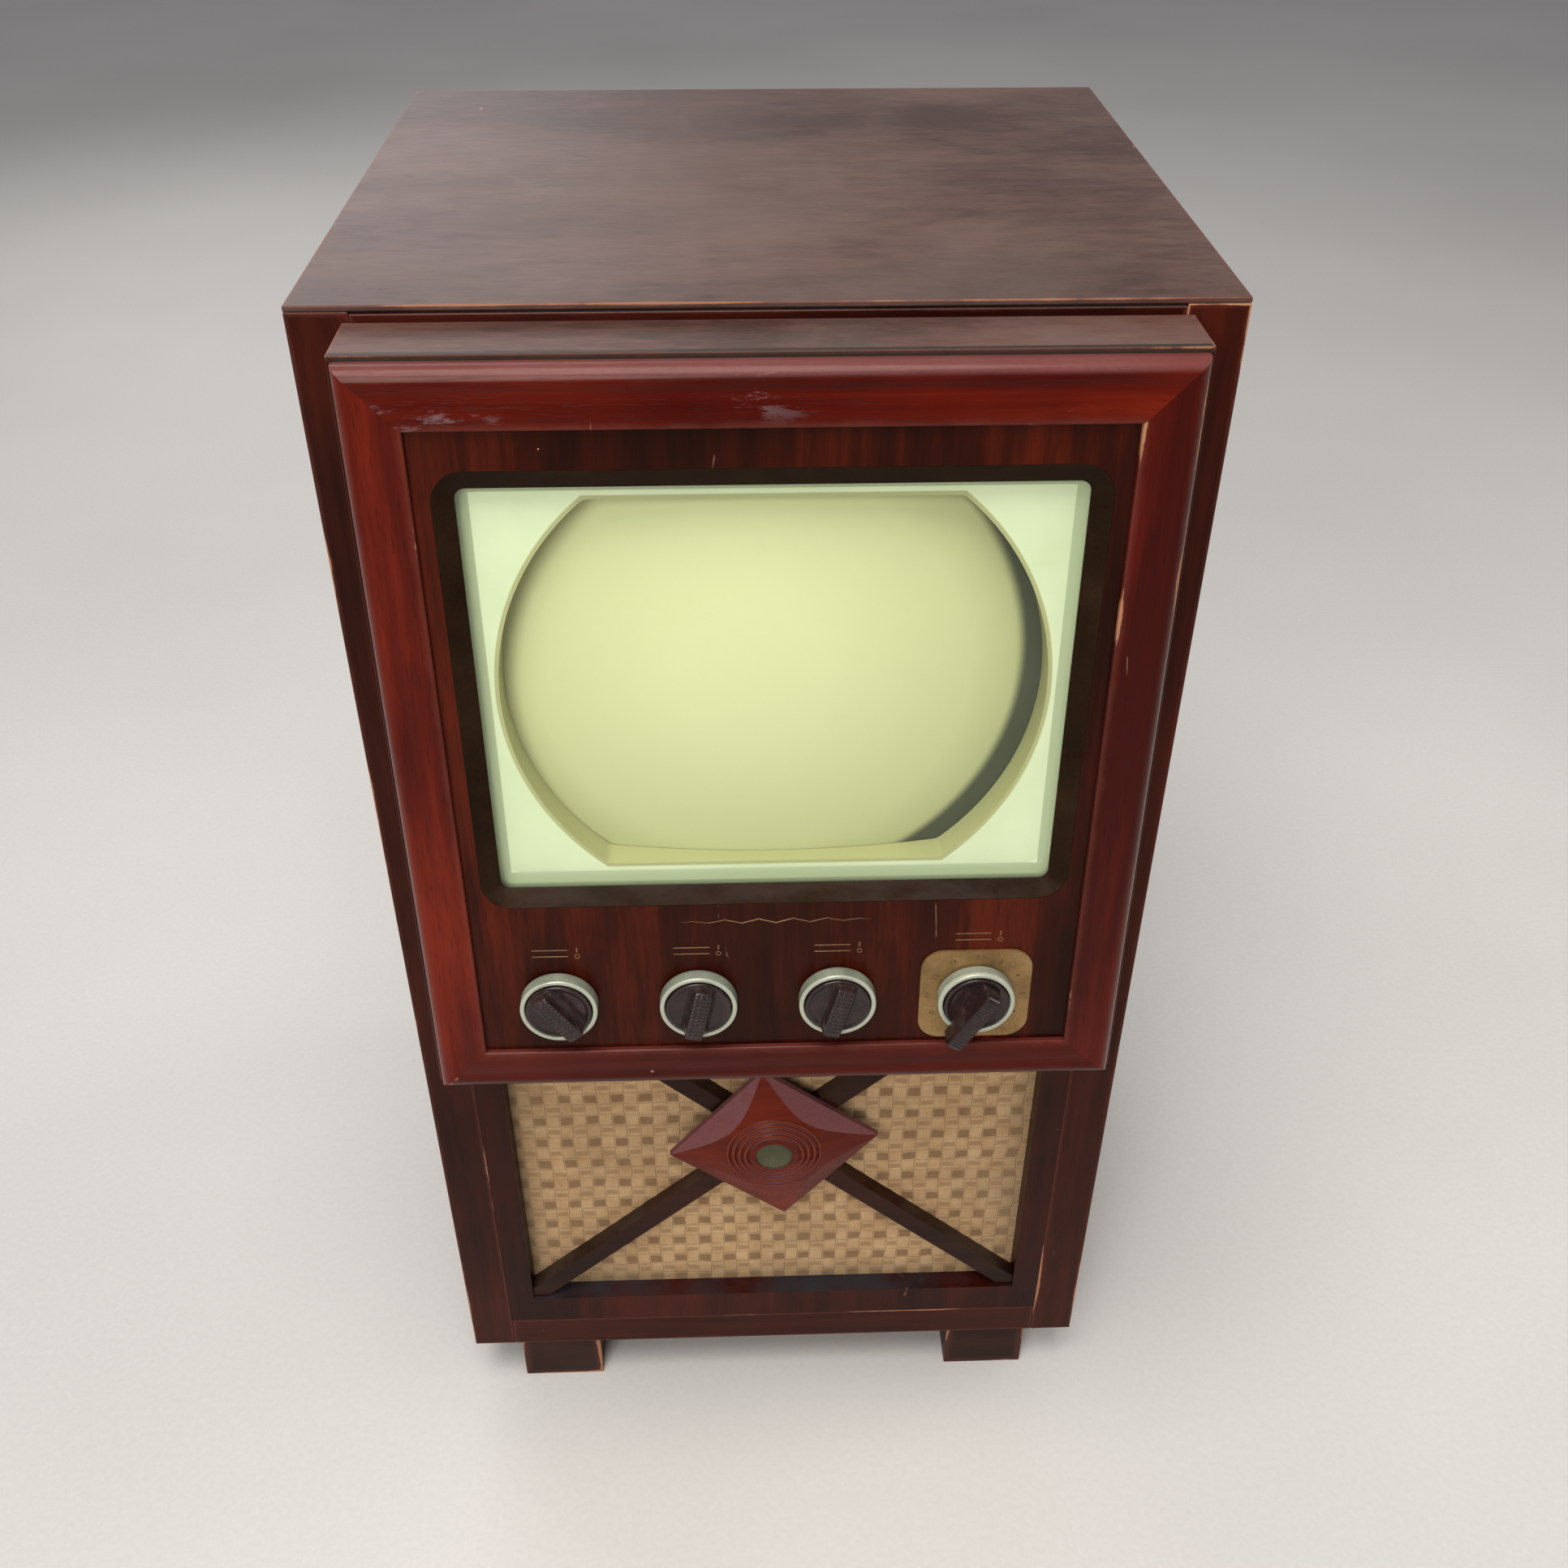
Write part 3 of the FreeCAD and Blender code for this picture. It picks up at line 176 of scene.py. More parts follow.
class Finish:
    # one material while it is being wired
    def __init__(self, name):
        self.material = bpy.data.materials.new(name)
        self.material.use_nodes = True
        self.tree = self.material.node_tree
        self.tree.nodes.clear()

    def node(self, kind, settings, sockets, out=0):
        return addNode(self.tree, kind, settings, sockets, out)

    def place(self, scale=(1, 1, 1), turn=(0, 0, 0), shift=(0, 0, 0)):
        here = self.node("ShaderNodeTexCoord", {}, {}, "Object")
        return self.node("ShaderNodeMapping", {"vector_type": "POINT"},
                         {"Vector": here, "Scale": scale, "Rotation": turn, "Location": shift})

    def apart(self, vector):
        parts = self.node("ShaderNodeSeparateXYZ", {}, {0: vector})
        outs = parts.socket.node.outputs
        return [Wire(self.tree, outs[i]) for i in range(3)]

    def leaning(self):
        # the board's own coordinates: right, into the case, up the slope
        return self.apart(self.place(turn=(lean, 0, 0)))

    def facingUp(self):
        # 1 on a floor, 0 on a wall
        return self.apart(self.node("ShaderNodeNewGeometry", {}, {}, "Normal"))[2]

    def noise(self, at, scale, detail=3.0, rough=0.5, bend=0.0):
        sockets = {"Vector": at, "Scale": scale, "Detail": detail, "Roughness": rough, "Distortion": bend}
        return self.node("ShaderNodeTexNoise", {}, sockets)

    def cells(self, at, scale):
        return self.node("ShaderNodeTexVoronoi", {}, {"Vector": at, "Scale": scale})

    def ramp(self, value, stops):
        return self.node("ShaderNodeValToRGB", {"stops": stops}, {0: value})

    def blend(self, share, under, over):
        # under, with over laid on it by share; the colours may be links or plain numbers
        full = [(*c, 1.0) if isinstance(c, tuple) else c for c in (under, over)]
        return self.node("ShaderNodeMix", {"data_type": "RGBA"}, {0: share, 6: full[0], 7: full[1]}, 2)

    def relief(self, height, strength, distance):
        return self.node("ShaderNodeBump", {}, {"Height": height, "Strength": strength, "Distance": distance})

    def done(self, colour, rough, normal, fixed):
        # colour, rough and normal vary over the surface, fixed holds the shader's other sockets
        changing = {"Base Color": colour, "Roughness": rough}
        if normal is not None:
            changing["Normal"] = normal
        shader = self.node("ShaderNodeBsdfPrincipled", {}, {**fixed, **changing})
        self.node("ShaderNodeOutputMaterial", {}, {0: shader})
        return self.material


def grey(value):
    return (value, value, value)


# wood
def scratchMask(f, seed, density):
    # fine scratches: the level lines of a smooth stretched cloud, kept only where another cloud is high
    total = None
    for number, angle in enumerate((0.25, -0.9, 1.35)):
        at = f.place(scale=(1.0, 1.0, 0.22), turn=(0, angle + seed, 0), shift=(seed * 3.1, 0, number * 1.7))
        level = abs(f.noise(at, 9.0 + 4.0 * number, 0.0) - 0.5)
        keep = f.noise(f.place(shift=(seed, number * 2.3, 0)), 24.0, 3.0, 0.6)
        line = level.fade(0.0028, 0.0006) * keep.fade(0.62 + 0.06 * (1 - density), 0.7)
        total = line if total is None else total.most(line)
    return total


def faceGaps(here, low, high):
    # a point's three distances to a box's faces, across, along and up, less than 0 outside the box
    return [(h - a).least(b - h) for h, a, b in zip(here, low, high)]


def middleOf(a, b, c):
    # on a box's face the middle one of the three distances is how far the nearest edge is
    return a.least(b).most(a.most(b).least(c))


def woodFinish(name, look, grain, gap=None, shadowBand=None, ridges=None):
    # mahogany under lacquer: broad streaks and narrow ones along the grain, short dark pores, clouds of
    # age, haze, scratches, settled dust with a painted sheen of the overhead light, scuffs and chips. Gap
    # gives the distance to an edge, where the wood is worn; a band, if given, marks a strip of painted
    # shadow in another colour; ridges gives the height of turned beads, whose crests get a painted highlight
    f = Finish(name)
    along = "xyz".index(grain)
    stretch = [1.0, 1.0, 1.0]
    stretch[along] = look["stretch"]
    seed = look["seed"]
    at = f.place(scale=tuple(stretch), shift=(seed, seed * 1.3, seed * 0.7))
    plain = f.place(shift=(seed * 2.0, seed, 0))
    figure = f.noise(at, look["figure"], 3.0, 0.55, 0.6)
    streak = f.noise(at, 150.0, 4.0, 0.62)
    cloud = f.noise(plain, 4.5, 4.0, 0.6)
    tone = figure * 0.42 + streak * 0.24 + cloud * 0.34
    colour = f.ramp(tone, [(0.41, look["dark"]), (0.5, look["mid"]), (0.6, look["light"])])
    stretch[along] = look["poreStretch"]
    pore = f.noise(f.place(scale=tuple(stretch)), 1500.0, 2.0, 0.5).fade(0.58, 0.7)
    colour = f.blend(pore * look["poreShare"], colour, look["pore"])
    fine = f.noise(plain, 420.0, 2.0, 0.6)
    rough = look["rough"] + (cloud - 0.5) * 0.18 + pore * 0.12
    coat = look["coat"] + (cloud - 0.5) * 0.15
    height = streak * 0.4 - pore * 0.7
    if look["haze"]:
        # dull bloom and dust lying in patches
        haze = f.noise(plain, 7.0, 5.0, 0.65, 0.4).fade(0.36, 0.72) * look["haze"]
        haze = haze + fine.fade(0.5, 0.75) * look["haze"] * 0.25
        colour = f.blend(haze, colour, look["hazeColour"])
        rough = rough + haze * 0.25
    lines = scratchMask(f, seed, look["scratches"])
    colour = f.blend(lines * look["scratchShare"], colour, look["scratchColour"])
    rough = rough + lines * 0.2
    height = height - lines * 1.5
    if look["settle"]:
        # dust and bloom on whatever faces up, with a painted sheen of the overhead light on them, thick in
        # some patches and rubbed off in others
        upwardDustSheen = f.facingUp().fade(look["settleFrom"], look["settleFull"])
        patchy = f.noise(f.place(shift=(0, 0, seed)), look["settleScale"], 4.0, 0.6).fade(0.34, 0.62)
        upwardDustSheen = upwardDustSheen * patchy.most(look["settleEven"])
        thick = (upwardDustSheen * look["settle"] * (0.7 + fine * 0.6)).least(1.0)
        colour = f.blend(thick, colour, look["settleColour"])
        rough = rough + upwardDustSheen * 0.12
    if look["rub"]:
        # pale scuffs where something has rubbed along the lacquer
        rubbed = f.noise(f.place(scale=(0.35, 1, 1.6), shift=(seed, 0, 0)), 75.0, 5.0, 0.75).fade(0.57, 0.66)
        rubbed = rubbed * f.noise(f.place(shift=(0, 0, seed * 1.9)), 9.0, 1.0).fade(0.52, 0.6)
        colour = f.blend(rubbed * look["rub"], colour, look["rubColour"])
        rough = rough + rubbed * 0.2
    # a strip of painted shadow, laid over the wood
    if shadowBand:
        colour = f.blend(shadowBand(f), colour, look["shadowBandColour"])
    chips = f.cells(plain, look["chipScale"]).fade(look["chips"], look["chips"] * 0.6)
    chips = chips * f.noise(plain, 11.0, 2.0).fade(0.55, 0.6)
    colour = f.blend(chips * 0.8, colour, look["chipColour"])
    height = height - chips * 2.0
    if gap:
        ragged = f.noise(f.place(shift=(seed, 0, seed)), 60.0, 5.0, 0.7)
        patch = f.noise(f.place(shift=(0, seed, 0)), 9.0, 2.0)
        reach = look["wear"] * mm
        gap = gap(f)
        near = gap + (ragged - 0.5) * (3.4 * reach) + (0.55 - patch) * (16.0 * reach)
        near = near.fade(reach, 0.1 * reach)
        dull = (gap + (ragged - 0.5) * (6 * reach)).fade(6 * reach, 0.0)
        colour = f.blend(dull * 0.35, colour, look["dullColour"])
        colour = f.blend(near * 0.75, colour, look["bareColour"])
        rough = rough + near * 0.3
        coat = coat - near * 0.4
    bump = f.relief(height, 0.25, 0.3 * mm)
    if ridges:
        crest = ridges(f)
        # painted highlight: the beads' crests are made paler and more orange
        colour = f.blend(crest.fade(0.55, 1.0) * 0.45, colour, look["crestHighlightColour"])
        turned = f.relief(crest, 1.0, 0.9 * mm)
        f.tree.links.new(turned.socket, bump.socket.node.inputs["Normal"])
    return f.done(colour, rough, bump, {
        "Coat Weight": coat, "Coat Roughness": look["coatRough"], "Coat IOR": 1.4,
        "Specular IOR Level": 0.12, "Specular Tint": (1.0, 0.7, 0.5, 1.0)})


# the wood that every other look starts from; shares and strengths are 0 to 1, wear is in millimetres
mahogany = {
    "dark": (0.01, 0.001, 0.0007), "mid": (0.024, 0.0024, 0.0009), "light": (0.045, 0.0046, 0.0014),
    "stretch": 0.06, "figure": 16.0, "rough": 0.36, "coat": 0.07, "coatRough": 0.14,
    "pore": (0.004, 0.0008, 0.0006), "poreShare": 0.45, "poreStretch": 0.035, "haze": 0.0,
    "scratches": 0.4, "scratchShare": 0.5, "scratchColour": (0.32, 0.16, 0.11),
    # on what faces up: dust, together with a painted sheen of the overhead light
    "settle": 0.0, "settleFrom": 0.3, "settleFull": 0.75, "settleEven": 0.0, "settleScale": 9.0,
    "settleColour": (0.05, 0.034, 0.03), "rub": 0.0, "rubColour": (0.17, 0.125, 0.13),
    "chips": 0.05, "chipScale": 34.0, "chipColour": (0.42, 0.2, 0.12),
    "bareColour": (0.36, 0.165, 0.085), "dullColour": (0.12, 0.035, 0.025),
}
caseLook = dict(mahogany, dark=(0.012, 0.0014, 0.001), mid=(0.028, 0.0026, 0.0015),
                light=(0.05, 0.0052, 0.0025), wear=0.6, seed=0.4)
topLook = dict(mahogany, dark=(0.034, 0.017, 0.013), mid=(0.058, 0.031, 0.024), light=(0.082, 0.046, 0.036),
               rough=0.5, haze=0.4, hazeColour=(0.1, 0.07, 0.058), wear=0.5, seed=1.1, coat=0.12,
               stretch=0.28, figure=9.0, scratches=0.25, scratchShare=0.2, coatRough=0.35, poreShare=0.25,
               bareColour=(0.22, 0.1, 0.055))
frameLook = dict(mahogany, wear=0.5, seed=2.2, settle=0.8)
grilleLook = dict(frameLook, seed=2.7, settle=1.0, settleColour=(0.022, 0.021, 0.024))
mouldingLook = dict(mahogany, dark=(0.03, 0.0012, 0.0007), mid=(0.06, 0.0032, 0.001),
                    light=(0.115, 0.0085, 0.002),
                    wear=0.9, rough=0.3, stretch=0.04, coat=0.14, settle=0.15, settleFrom=0.25,
                    settleFull=0.6, settleColour=(0.12, 0.044, 0.044), settleScale=5.0)
panelLook = dict(mahogany, dark=(0.008, 0.0009, 0.0005), mid=(0.022, 0.0022, 0.0007),
                 light=(0.062, 0.0062, 0.0015), seed=4.4, rough=0.32, figure=24.0, scratches=0.7,
                 chips=0.03, chipScale=60.0)
hoodLook = dict(mahogany, seed=5.1, wear=0.6, haze=0.1, hazeColour=(0.05, 0.035, 0.03))
# the hood top's near black strip along its front is painted shadow
hoodTopLook = dict(topLook, seed=5.8, mid=(0.07, 0.031, 0.023), shadowBandColour=(0.009, 0.01, 0.0075))
barLook = dict(mahogany, dark=(0.006, 0.0016, 0.001), mid=(0.015, 0.0035, 0.002), light=(0.028, 0.006, 0.003),
               seed=6.6, settle=0.8, settleFrom=0.1, settleFull=0.5, settleColour=(0.065, 0.045, 0.03))
footLook = dict(mahogany, dark=(0.008, 0.003, 0.002), mid=(0.018, 0.005, 0.003),
                light=(0.03, 0.009, 0.005), seed=7.2, haze=0.35, hazeColour=(0.05, 0.032, 0.024),
                wear=1.2, coat=0.1, rough=0.5)
# the ornament's upward faces: dust with a painted pinkish reflection of the overhead light
ornamentLook = dict(mahogany, dark=(0.07, 0.0052, 0.0015), mid=(0.115, 0.0095, 0.0025),
                    light=(0.15, 0.015, 0.004), seed=8.5, rough=0.26, scratches=0.15, scratchShare=0.3,
                    stretch=0.1, coat=0.12, settle=0.9, settleFrom=0.2, settleFull=0.25, settleEven=0.8,
                    settleColour=(0.155, 0.062, 0.064), settleScale=14.0, crestHighlightColour=(0.2, 0.032, 0.01))
plainLook = dict(mahogany, dark=(0.2, 0.11, 0.055), mid=(0.33, 0.2, 0.11), light=(0.45, 0.3, 0.17),
                 pore=(0.12, 0.06, 0.03), coat=0.0, rough=0.7, scratches=0.2, seed=9.7)


def nodeGap(name):
    low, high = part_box(name)
    return lambda f: middleOf(*faceGaps(f.apart(f.place()), low, high))


def blockGap(boxes):
    # for a node of several blocks: the distance to an edge of whichever block a point is in
    def gap(f):
        here = f.apart(f.place())
        total = None
        for low, high in boxes:
            a, b, c = faceGaps(here, low, high)
            outside = a.least(b).least(c).fade(-0.2 * mm, -1.2 * mm)  # 1 where a point isn't in this block
            one = middleOf(a, b, c) + outside
            total = one if total is None else total.least(one)
        return total
    return gap


def blocksOf(name):
    # the low and high corners of each separate block of a node
    work = bmesh.new()
    work.from_mesh(nodes[name].data)
    bmesh.ops.remove_doubles(work, verts=work.verts, dist=1e-6)
    left, blocks = set(work.verts), []
    while left:
        front, block = [left.pop()], []
        while front:
            vertex = front.pop()
            block.append(tuple(vertex.co))
            for edge in vertex.link_edges:
                other = edge.other_vert(vertex)
                if other in left:
                    left.remove(other)
                    front.append(other)
        blocks.append((np.min(block, 0).tolist(), np.max(block, 0).tolist()))
    work.free()
    return sorted(blocks)


print("finishes ready")


# softened copies of the boards
def softened(node, width, material, limit=30):
    # the board's own faces, welded, with every hard edge rounded over as sandpaper and years leave it
    mesh = nodes[node].data.copy()
    mesh.name = node + "_eased"
    work = bmesh.new()
    work.from_mesh(mesh)
    bmesh.ops.remove_doubles(work, verts=work.verts, dist=1e-6)
    bmesh.ops.dissolve_limit(work, angle_limit=math.radians(0.3), verts=work.verts, edges=work.edges)
    for face in work.faces:
        face.smooth = True
    work.to_mesh(mesh)
    work.free()
    if "custom_normal" in mesh.attributes:
        mesh.attributes.remove(mesh.attributes["custom_normal"])
    piece = addPiece(mesh.name, mesh, material, "cabinet", [node])
    bevel = piece.modifiers.new("Bevel", "BEVEL")
    bevel.width = width
    bevel.segments = 3
    bevel.limit_method = "ANGLE"
    bevel.angle_limit = math.radians(limit)
    bevel.harden_normals = True
    bevel.use_clamp_overlap = True


def dress(node, material):
    nodes[node].data.materials.clear()
    nodes[node].data.materials.append(material)


# each board's look, the way its grain runs, its slot and how far its edges are eased in millimetres
boards = {
    "side_panel_left": (caseLook, "z", "case_wood", 1.0),
    "side_panel_right": (dict(caseLook, seed=0.9), "z", "case_wood", 1.0),
    "top_panel": (topLook, "x", "case_wood", 0.9),
    "front_stile_left": (frameLook, "z", "frame_wood", 0.8),
    "front_stile_right": (dict(frameLook, seed=2.9), "z", "frame_wood", 0.8),
    "top_rail": (frameLook, "x", "frame_wood", 0.8),
    "bottom_rail": (dict(frameLook, seed=2.5), "x", "frame_wood", 0.8),
    "hood_top": (hoodTopLook, "x", "hood_wood", 0.8),
    "hood_bottom": (hoodLook, "x", "hood_wood", 0.8),
    "hood_left": (hoodLook, "z", "hood_wood", 0.8),
    "hood_right": (hoodLook, "z", "hood_wood", 0.8),
}
hoodFront = float(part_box("hood_top")[0][1])


def hoodGapShadow(f):
    # painted shadow of the groove in front of the hood: the dark strip along the hood's front edge
    here = f.place()
    ragged = f.noise(here, 120.0, 3.0) - 0.5
    behind = f.apart(here)[1] - hoodFront
    return (behind + ragged * (1.2 * mm)).fade(4.2 * mm, 3.4 * mm) * 0.92


for board, (look, grain, slotName, ease) in boards.items():
    # the hood top gets a painted shadow along its front edge
    shadowBand = hoodGapShadow if board == "hood_top" else None
    finish = woodFinish(board + "_finish", look, grain, nodeGap(board), shadowBand)
    softened(board, ease * mm, finish)
footFinish = woodFinish("foot_finish", footLook, "x", blockGap(blocksOf("feet")))
softened("feet", 0.8 * mm, footFinish)
print("case boards eased")

mouldTop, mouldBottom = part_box("moulding_top"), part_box("moulding_bottom")
mouldHalf = float(mouldTop[1].x)
mouldWide = 28.4 * mm  # from the frame's outer edge to its inner one
slopeTop = max(slopeOf((0, corner.y, mouldTop[1].z)) for corner in mouldTop)
slopeBottom = min(slopeOf((0, corner.y, mouldBottom[0].z)) for corner in mouldBottom)


def mouldGap(f):
    # the distance to the frame's outer edge or to its inner one, whichever is nearer
    x, _, up = f.leaning()
    fromOuter = (mouldHalf - abs(x)).least((slopeTop - up).least(up - slopeBottom))
    fromInner = abs(fromOuter - mouldWide)
    return fromOuter.most(0.0).least(fromInner + 1.4 * mm)


for side, grain in (("top", "x"), ("bottom", "x"), ("left", "z"), ("right", "z")):
    look = dict(mouldingLook, seed=3.3 + len(side))
    if side == "top":
        # the top moulding gets more dust and painted sheen on what faces up, and pale rubs
        look.update(rub=0.4, settle=0.55)
    finish = woodFinish(f"moulding_{side}_finish", look, grain, mouldGap)
    softened(f"moulding_{side}", 0.5 * mm, finish, limit=40)
print("moulding eased")

dress("control_panel", woodFinish("control_panel_finish", panelLook, "z"))
dress("grille_frame", woodFinish("grille_frame_finish", grilleLook, "z"))
ornamentLow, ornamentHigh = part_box("diamond_ornament")


def ornamentRidges(f):
    # beads turned round the medallion, one every 4 mm, a groove between each two of them
    x, _, z = f.apart(f.place())
    up = z - (ornamentLow.z + ornamentHigh.z) / 2
    reach = (x * x + up * up).power(0.5) / (4.0 * mm)
    wave = ((reach - 0.625) * (2 * math.pi)).sine() * 0.5 + 0.5
    return wave * reach.fade(3.9, 4.2) * reach.fade(8.4, 8.0)


dress("diamond_ornament", woodFinish("ornament_finish", ornamentLook, "x", ridges=ornamentRidges))
dress("grille_bars", woodFinish("bar_finish", barLook, "x"))
for name in ("bottom_panel", "chassis_shelf", "speaker_baffle"):
    dress(name, woodFinish(name + "_finish", plainLook, "x"))


# surfaces worked out on a grid
def surface(name, shells, material, body, replaced, turnOut=True):
    # each shell is a grid of points, rows by columns, with two flags that say whether its rows and its
    # columns close round; a row that has shrunk to a point is welded into a pole
    allPoints, allFaces, start = [], [], 0
    for points, closeRows, closeColumns in shells:
        rows, columns = points.shape[:2]
        down = np.arange(rows if closeRows else rows - 1)
        across = np.arange(columns if closeColumns else columns - 1)
        i, j = np.meshgrid(down, across, indexing="ij")
        iNext, jNext = (i + 1) % rows, (j + 1) % columns
        here, below = i * columns, iNext * columns
        quads = np.stack([here + j, here + jNext, below + jNext, below + j], -1)
        allFaces.append(quads.reshape(-1, 4) + start)
        allPoints.append(points.reshape(-1, 3))
        start += rows * columns
    points, faces = np.concatenate(allPoints), np.concatenate(allFaces)
    mesh = bpy.data.meshes.new(name)
    mesh.from_pydata(points.tolist(), [], faces.tolist())
    work = bmesh.new()
    work.from_mesh(mesh)
    bmesh.ops.remove_doubles(work, verts=work.verts, dist=2e-7)
    if turnOut:
        bmesh.ops.recalc_face_normals(work, faces=work.faces)
    for face in work.faces:
        face.smooth = True
    work.to_mesh(mesh)
    work.free()
    return addPiece(name, mesh, material, body, replaced)


def turnedShell(centre, radii, outs, steps=128):
    # a profile of radius and height out of the board, carried round the control's axis
    around = np.linspace(0, 2 * np.pi, steps, endpoint=False)
    radii = np.asarray(radii)[:, None] * np.ones(steps)
    outs = np.asarray(outs)[:, None] * np.ones(steps)
    return onBoard(centre, radii * np.cos(around), outs, radii * np.sin(around)), False, True


def rounded(corners, radius, steps=5):
    # a profile of straight runs whose corners are rounded: each corner becomes a short curve between
    # the points a radius away along its two sides
    corners = [np.array(c, float) for c in corners]
    points = [corners[0]]
    for before, corner, after in zip(corners, corners[1:], corners[2:]):
        toBefore, toAfter = before - corner, after - corner
        reach = min(radius, 0.45 * np.linalg.norm(toBefore), 0.45 * np.linalg.norm(toAfter))
        a = corner + toBefore / np.linalg.norm(toBefore) * reach
        b = corner + toAfter / np.linalg.norm(toAfter) * reach
        for t in np.linspace(0, 1, steps):
            points.append((1 - t) ** 2 * a + 2 * t * (1 - t) * corner + t ** 2 * b)
    points.append(corners[-1])
    return np.array(points)


# ring knobs
ringLook = {
    "outer": 22.0, "inner": 19.1, "lip": 8.9, "foot": 0.7, "floor": 2.2, "round": 0.9,
    "bore": 1.7, "dark": (0.13, 0.14, 0.1), "paint": (0.2, 0.215, 0.155), "pale": (0.27, 0.28, 0.21),
    "darkening": (0.06, 0.06, 0.04), "edge": (0.42, 0.43, 0.33),
}
plateLift = 1.6  # the channel's ring and bar stand higher, on their brass plate


def ringFinish(centre, name):
    f = Finish(name)
    at = f.place()
    cloud = f.noise(at, 60.0, 4.0, 0.6)
    speck = f.noise(at, 700.0, 3.0, 0.6)
    stops = [(0.35, ringLook["dark"]), (0.55, ringLook["paint"]), (0.75, ringLook["pale"])]
    colour = f.ramp(cloud * 0.7 + speck * 0.3, stops)
    behindLip = f.leaning()[1] - (depthOf(centre) - ringLook["lip"] * mm)
    nearFront = behindLip.fade(1.1 * mm, 0.2 * mm)
    nearFoot = behindLip.fade(5.5 * mm, 8.4 * mm)
    # darker towards the board, where the ring's side stands on it
    colour = f.blend(nearFoot * 0.65, colour, ringLook["darkening"])
    colour = f.blend(nearFront * 0.6, colour, ringLook["edge"])
    rough = 0.36 + (cloud - 0.5) * 0.3 - nearFront * 0.12
    return f.done(colour, rough, f.relief(speck, 0.12, 0.2 * mm),
                  {"Metallic": 0.2, "Specular IOR Level": 0.4})


for ring in ("vertical_hold", "brightness", "focus", "fine_tuning"):
    centre = knobSpots[ring]
    lift = plateLift if ring == "fine_tuning" else 0.0
    o, n, b, lip, foot, floor = (ringLook[k] for k in ("outer", "inner", "bore", "lip", "foot", "floor"))
    corners = [(b, foot), (o - 0.5, foot), (o, foot + 0.7), (o - 0.25, lip),
               (n, lip), (n - 0.05, floor), (b, floor)]
    section = rounded([(radius, out + lift) for radius, out in corners], ringLook["round"])
    section = np.vstack([section, section[:1]]) * mm
    shell = turnedShell(centre, section[:, 0], section[:, 1])
    finish = ringFinish(centre, ring + "_ring_finish")
    surface(ring + "_ring_turned", [shell], finish, ring, [ring + "_ring"])
print("ring knobs turned")


# bar knobs
knobLook = {
    "disc": 18.4, "back": 2.6, "face": 9.2, "rim": 0.7, "groove": 0.45,
    "turns": {"horizontal_hold": 36, "contrast": -12, "volume": -15, "channel": -32},
    "dark": (0.01, 0.0055, 0.0055), "body": (0.016, 0.0075, 0.0068), "pale": (0.034, 0.018, 0.017),
    "worn": (0.07, 0.046, 0.042),
}
# the finger bar's two ends, its rise, half its width at the top and at the foot, and how many squares
# its knurling has across and along
plainBar = {"low": -17.9, "high": 17.7, "rise": 8.2, "top": 4.9, "foot": 8.2, "across": 3, "along": 13}
channelBar = {"low": -27.6, "high": 15.8, "rise": 12.6, "top": 4.5, "foot": 6.8, "across": 4, "along": 19}


def knobFinish(name):
    f = Finish(name)
    at = f.place()
    cloud = f.noise(at, 120.0, 4.0, 0.6)
    speck = f.noise(at, 1200.0, 2.0, 0.6)
    scuff = f.noise(f.place(scale=(1, 1, 0.3), turn=(0, 0.6, 0)), 420.0, 3.0, 0.7).fade(0.56, 0.75)
    colour = f.ramp(cloud, [(0.3, knobLook["dark"]), (0.55, knobLook["body"]), (0.8, knobLook["pale"])])
    colour = f.blend(scuff * 0.35, colour, knobLook["worn"])
    rough = 0.3 + (cloud - 0.5) * 0.35 + scuff * 0.2
    return f.done(colour, rough, f.relief(speck + scuff * 0.8, 0.12, 0.15 * mm),
                  {"Coat Weight": 0.4, "Coat Roughness": 0.1, "Specular IOR Level": 0.15})


def barShell(centre, turn, lift, bar):
    # the finger bar: its section is narrow on top and flares in a hollow curve to its foot, the ends
    # are rounded off, and the top is cut with a grid of square knurls
    rows, around = 150, 64
    t = np.linspace(0, 1, rows)[:, None]
    along = bar["low"] + (bar["high"] - bar["low"]) * t
    end = 1 - np.abs(2 * t - 1) ** 22  # 1 over the bar, 0 at its very ends
    end = np.clip(end, 0, 1) ** 0.5
    # round the section: up the left flank, across the top, down the right flank and back under
    up = np.concatenate([np.linspace(0, 1, 14), np.ones(22), np.linspace(1, 0, 14), np.zeros(14)])
    side = np.concatenate([-np.ones(14), np.linspace(-1, 1, 24)[1:-1],
                           np.ones(14), np.linspace(1, -1, 16)[1:-1]])
    spread = np.clip((knobLook["disc"] + 0.5 - np.abs(along)) / 4.0, 0, 1)  # past the disc the flare dies out
    flank = bar["top"] + (bar["foot"] - bar["top"]) * spread * (1 - up) ** 2.4
    x = side * flank * (0.12 + 0.88 * end)
    height = bar["rise"] * up * (0.25 + 0.75 * end)
    onTop = up >= 0.999
    cellAcross = np.abs(np.sin(np.pi * bar["across"] * (side + 1) / 2 / 0.97))
    cell = cellAcross * np.abs(np.sin(np.pi * bar["along"] * t))
    grooves = (1 - np.clip(cell * 2.2, 0, 1)) * onTop * (np.abs(side) < 0.93) * (end > 0.9)
    height = height - knobLook["groove"] * grooves + 0.35 * (1 - side ** 2) * onTop * end
    # turn it on the board, and sink its foot a little into the disc
    sine, cosine = math.sin(math.radians(turn)), math.cos(math.radians(turn))
    grid = onBoard(centre, (x * cosine - along * sine) * mm, (lift + knobLook["face"] - 0.4 + height) * mm,
                   (x * sine + along * cosine) * mm)
    # close both ends to a pole
    first = np.repeat(grid[:1].mean(1, keepdims=True), grid.shape[1], 1)
    last = np.repeat(grid[-1:].mean(1, keepdims=True), grid.shape[1], 1)
    return np.concatenate([first, grid, last]), False, True


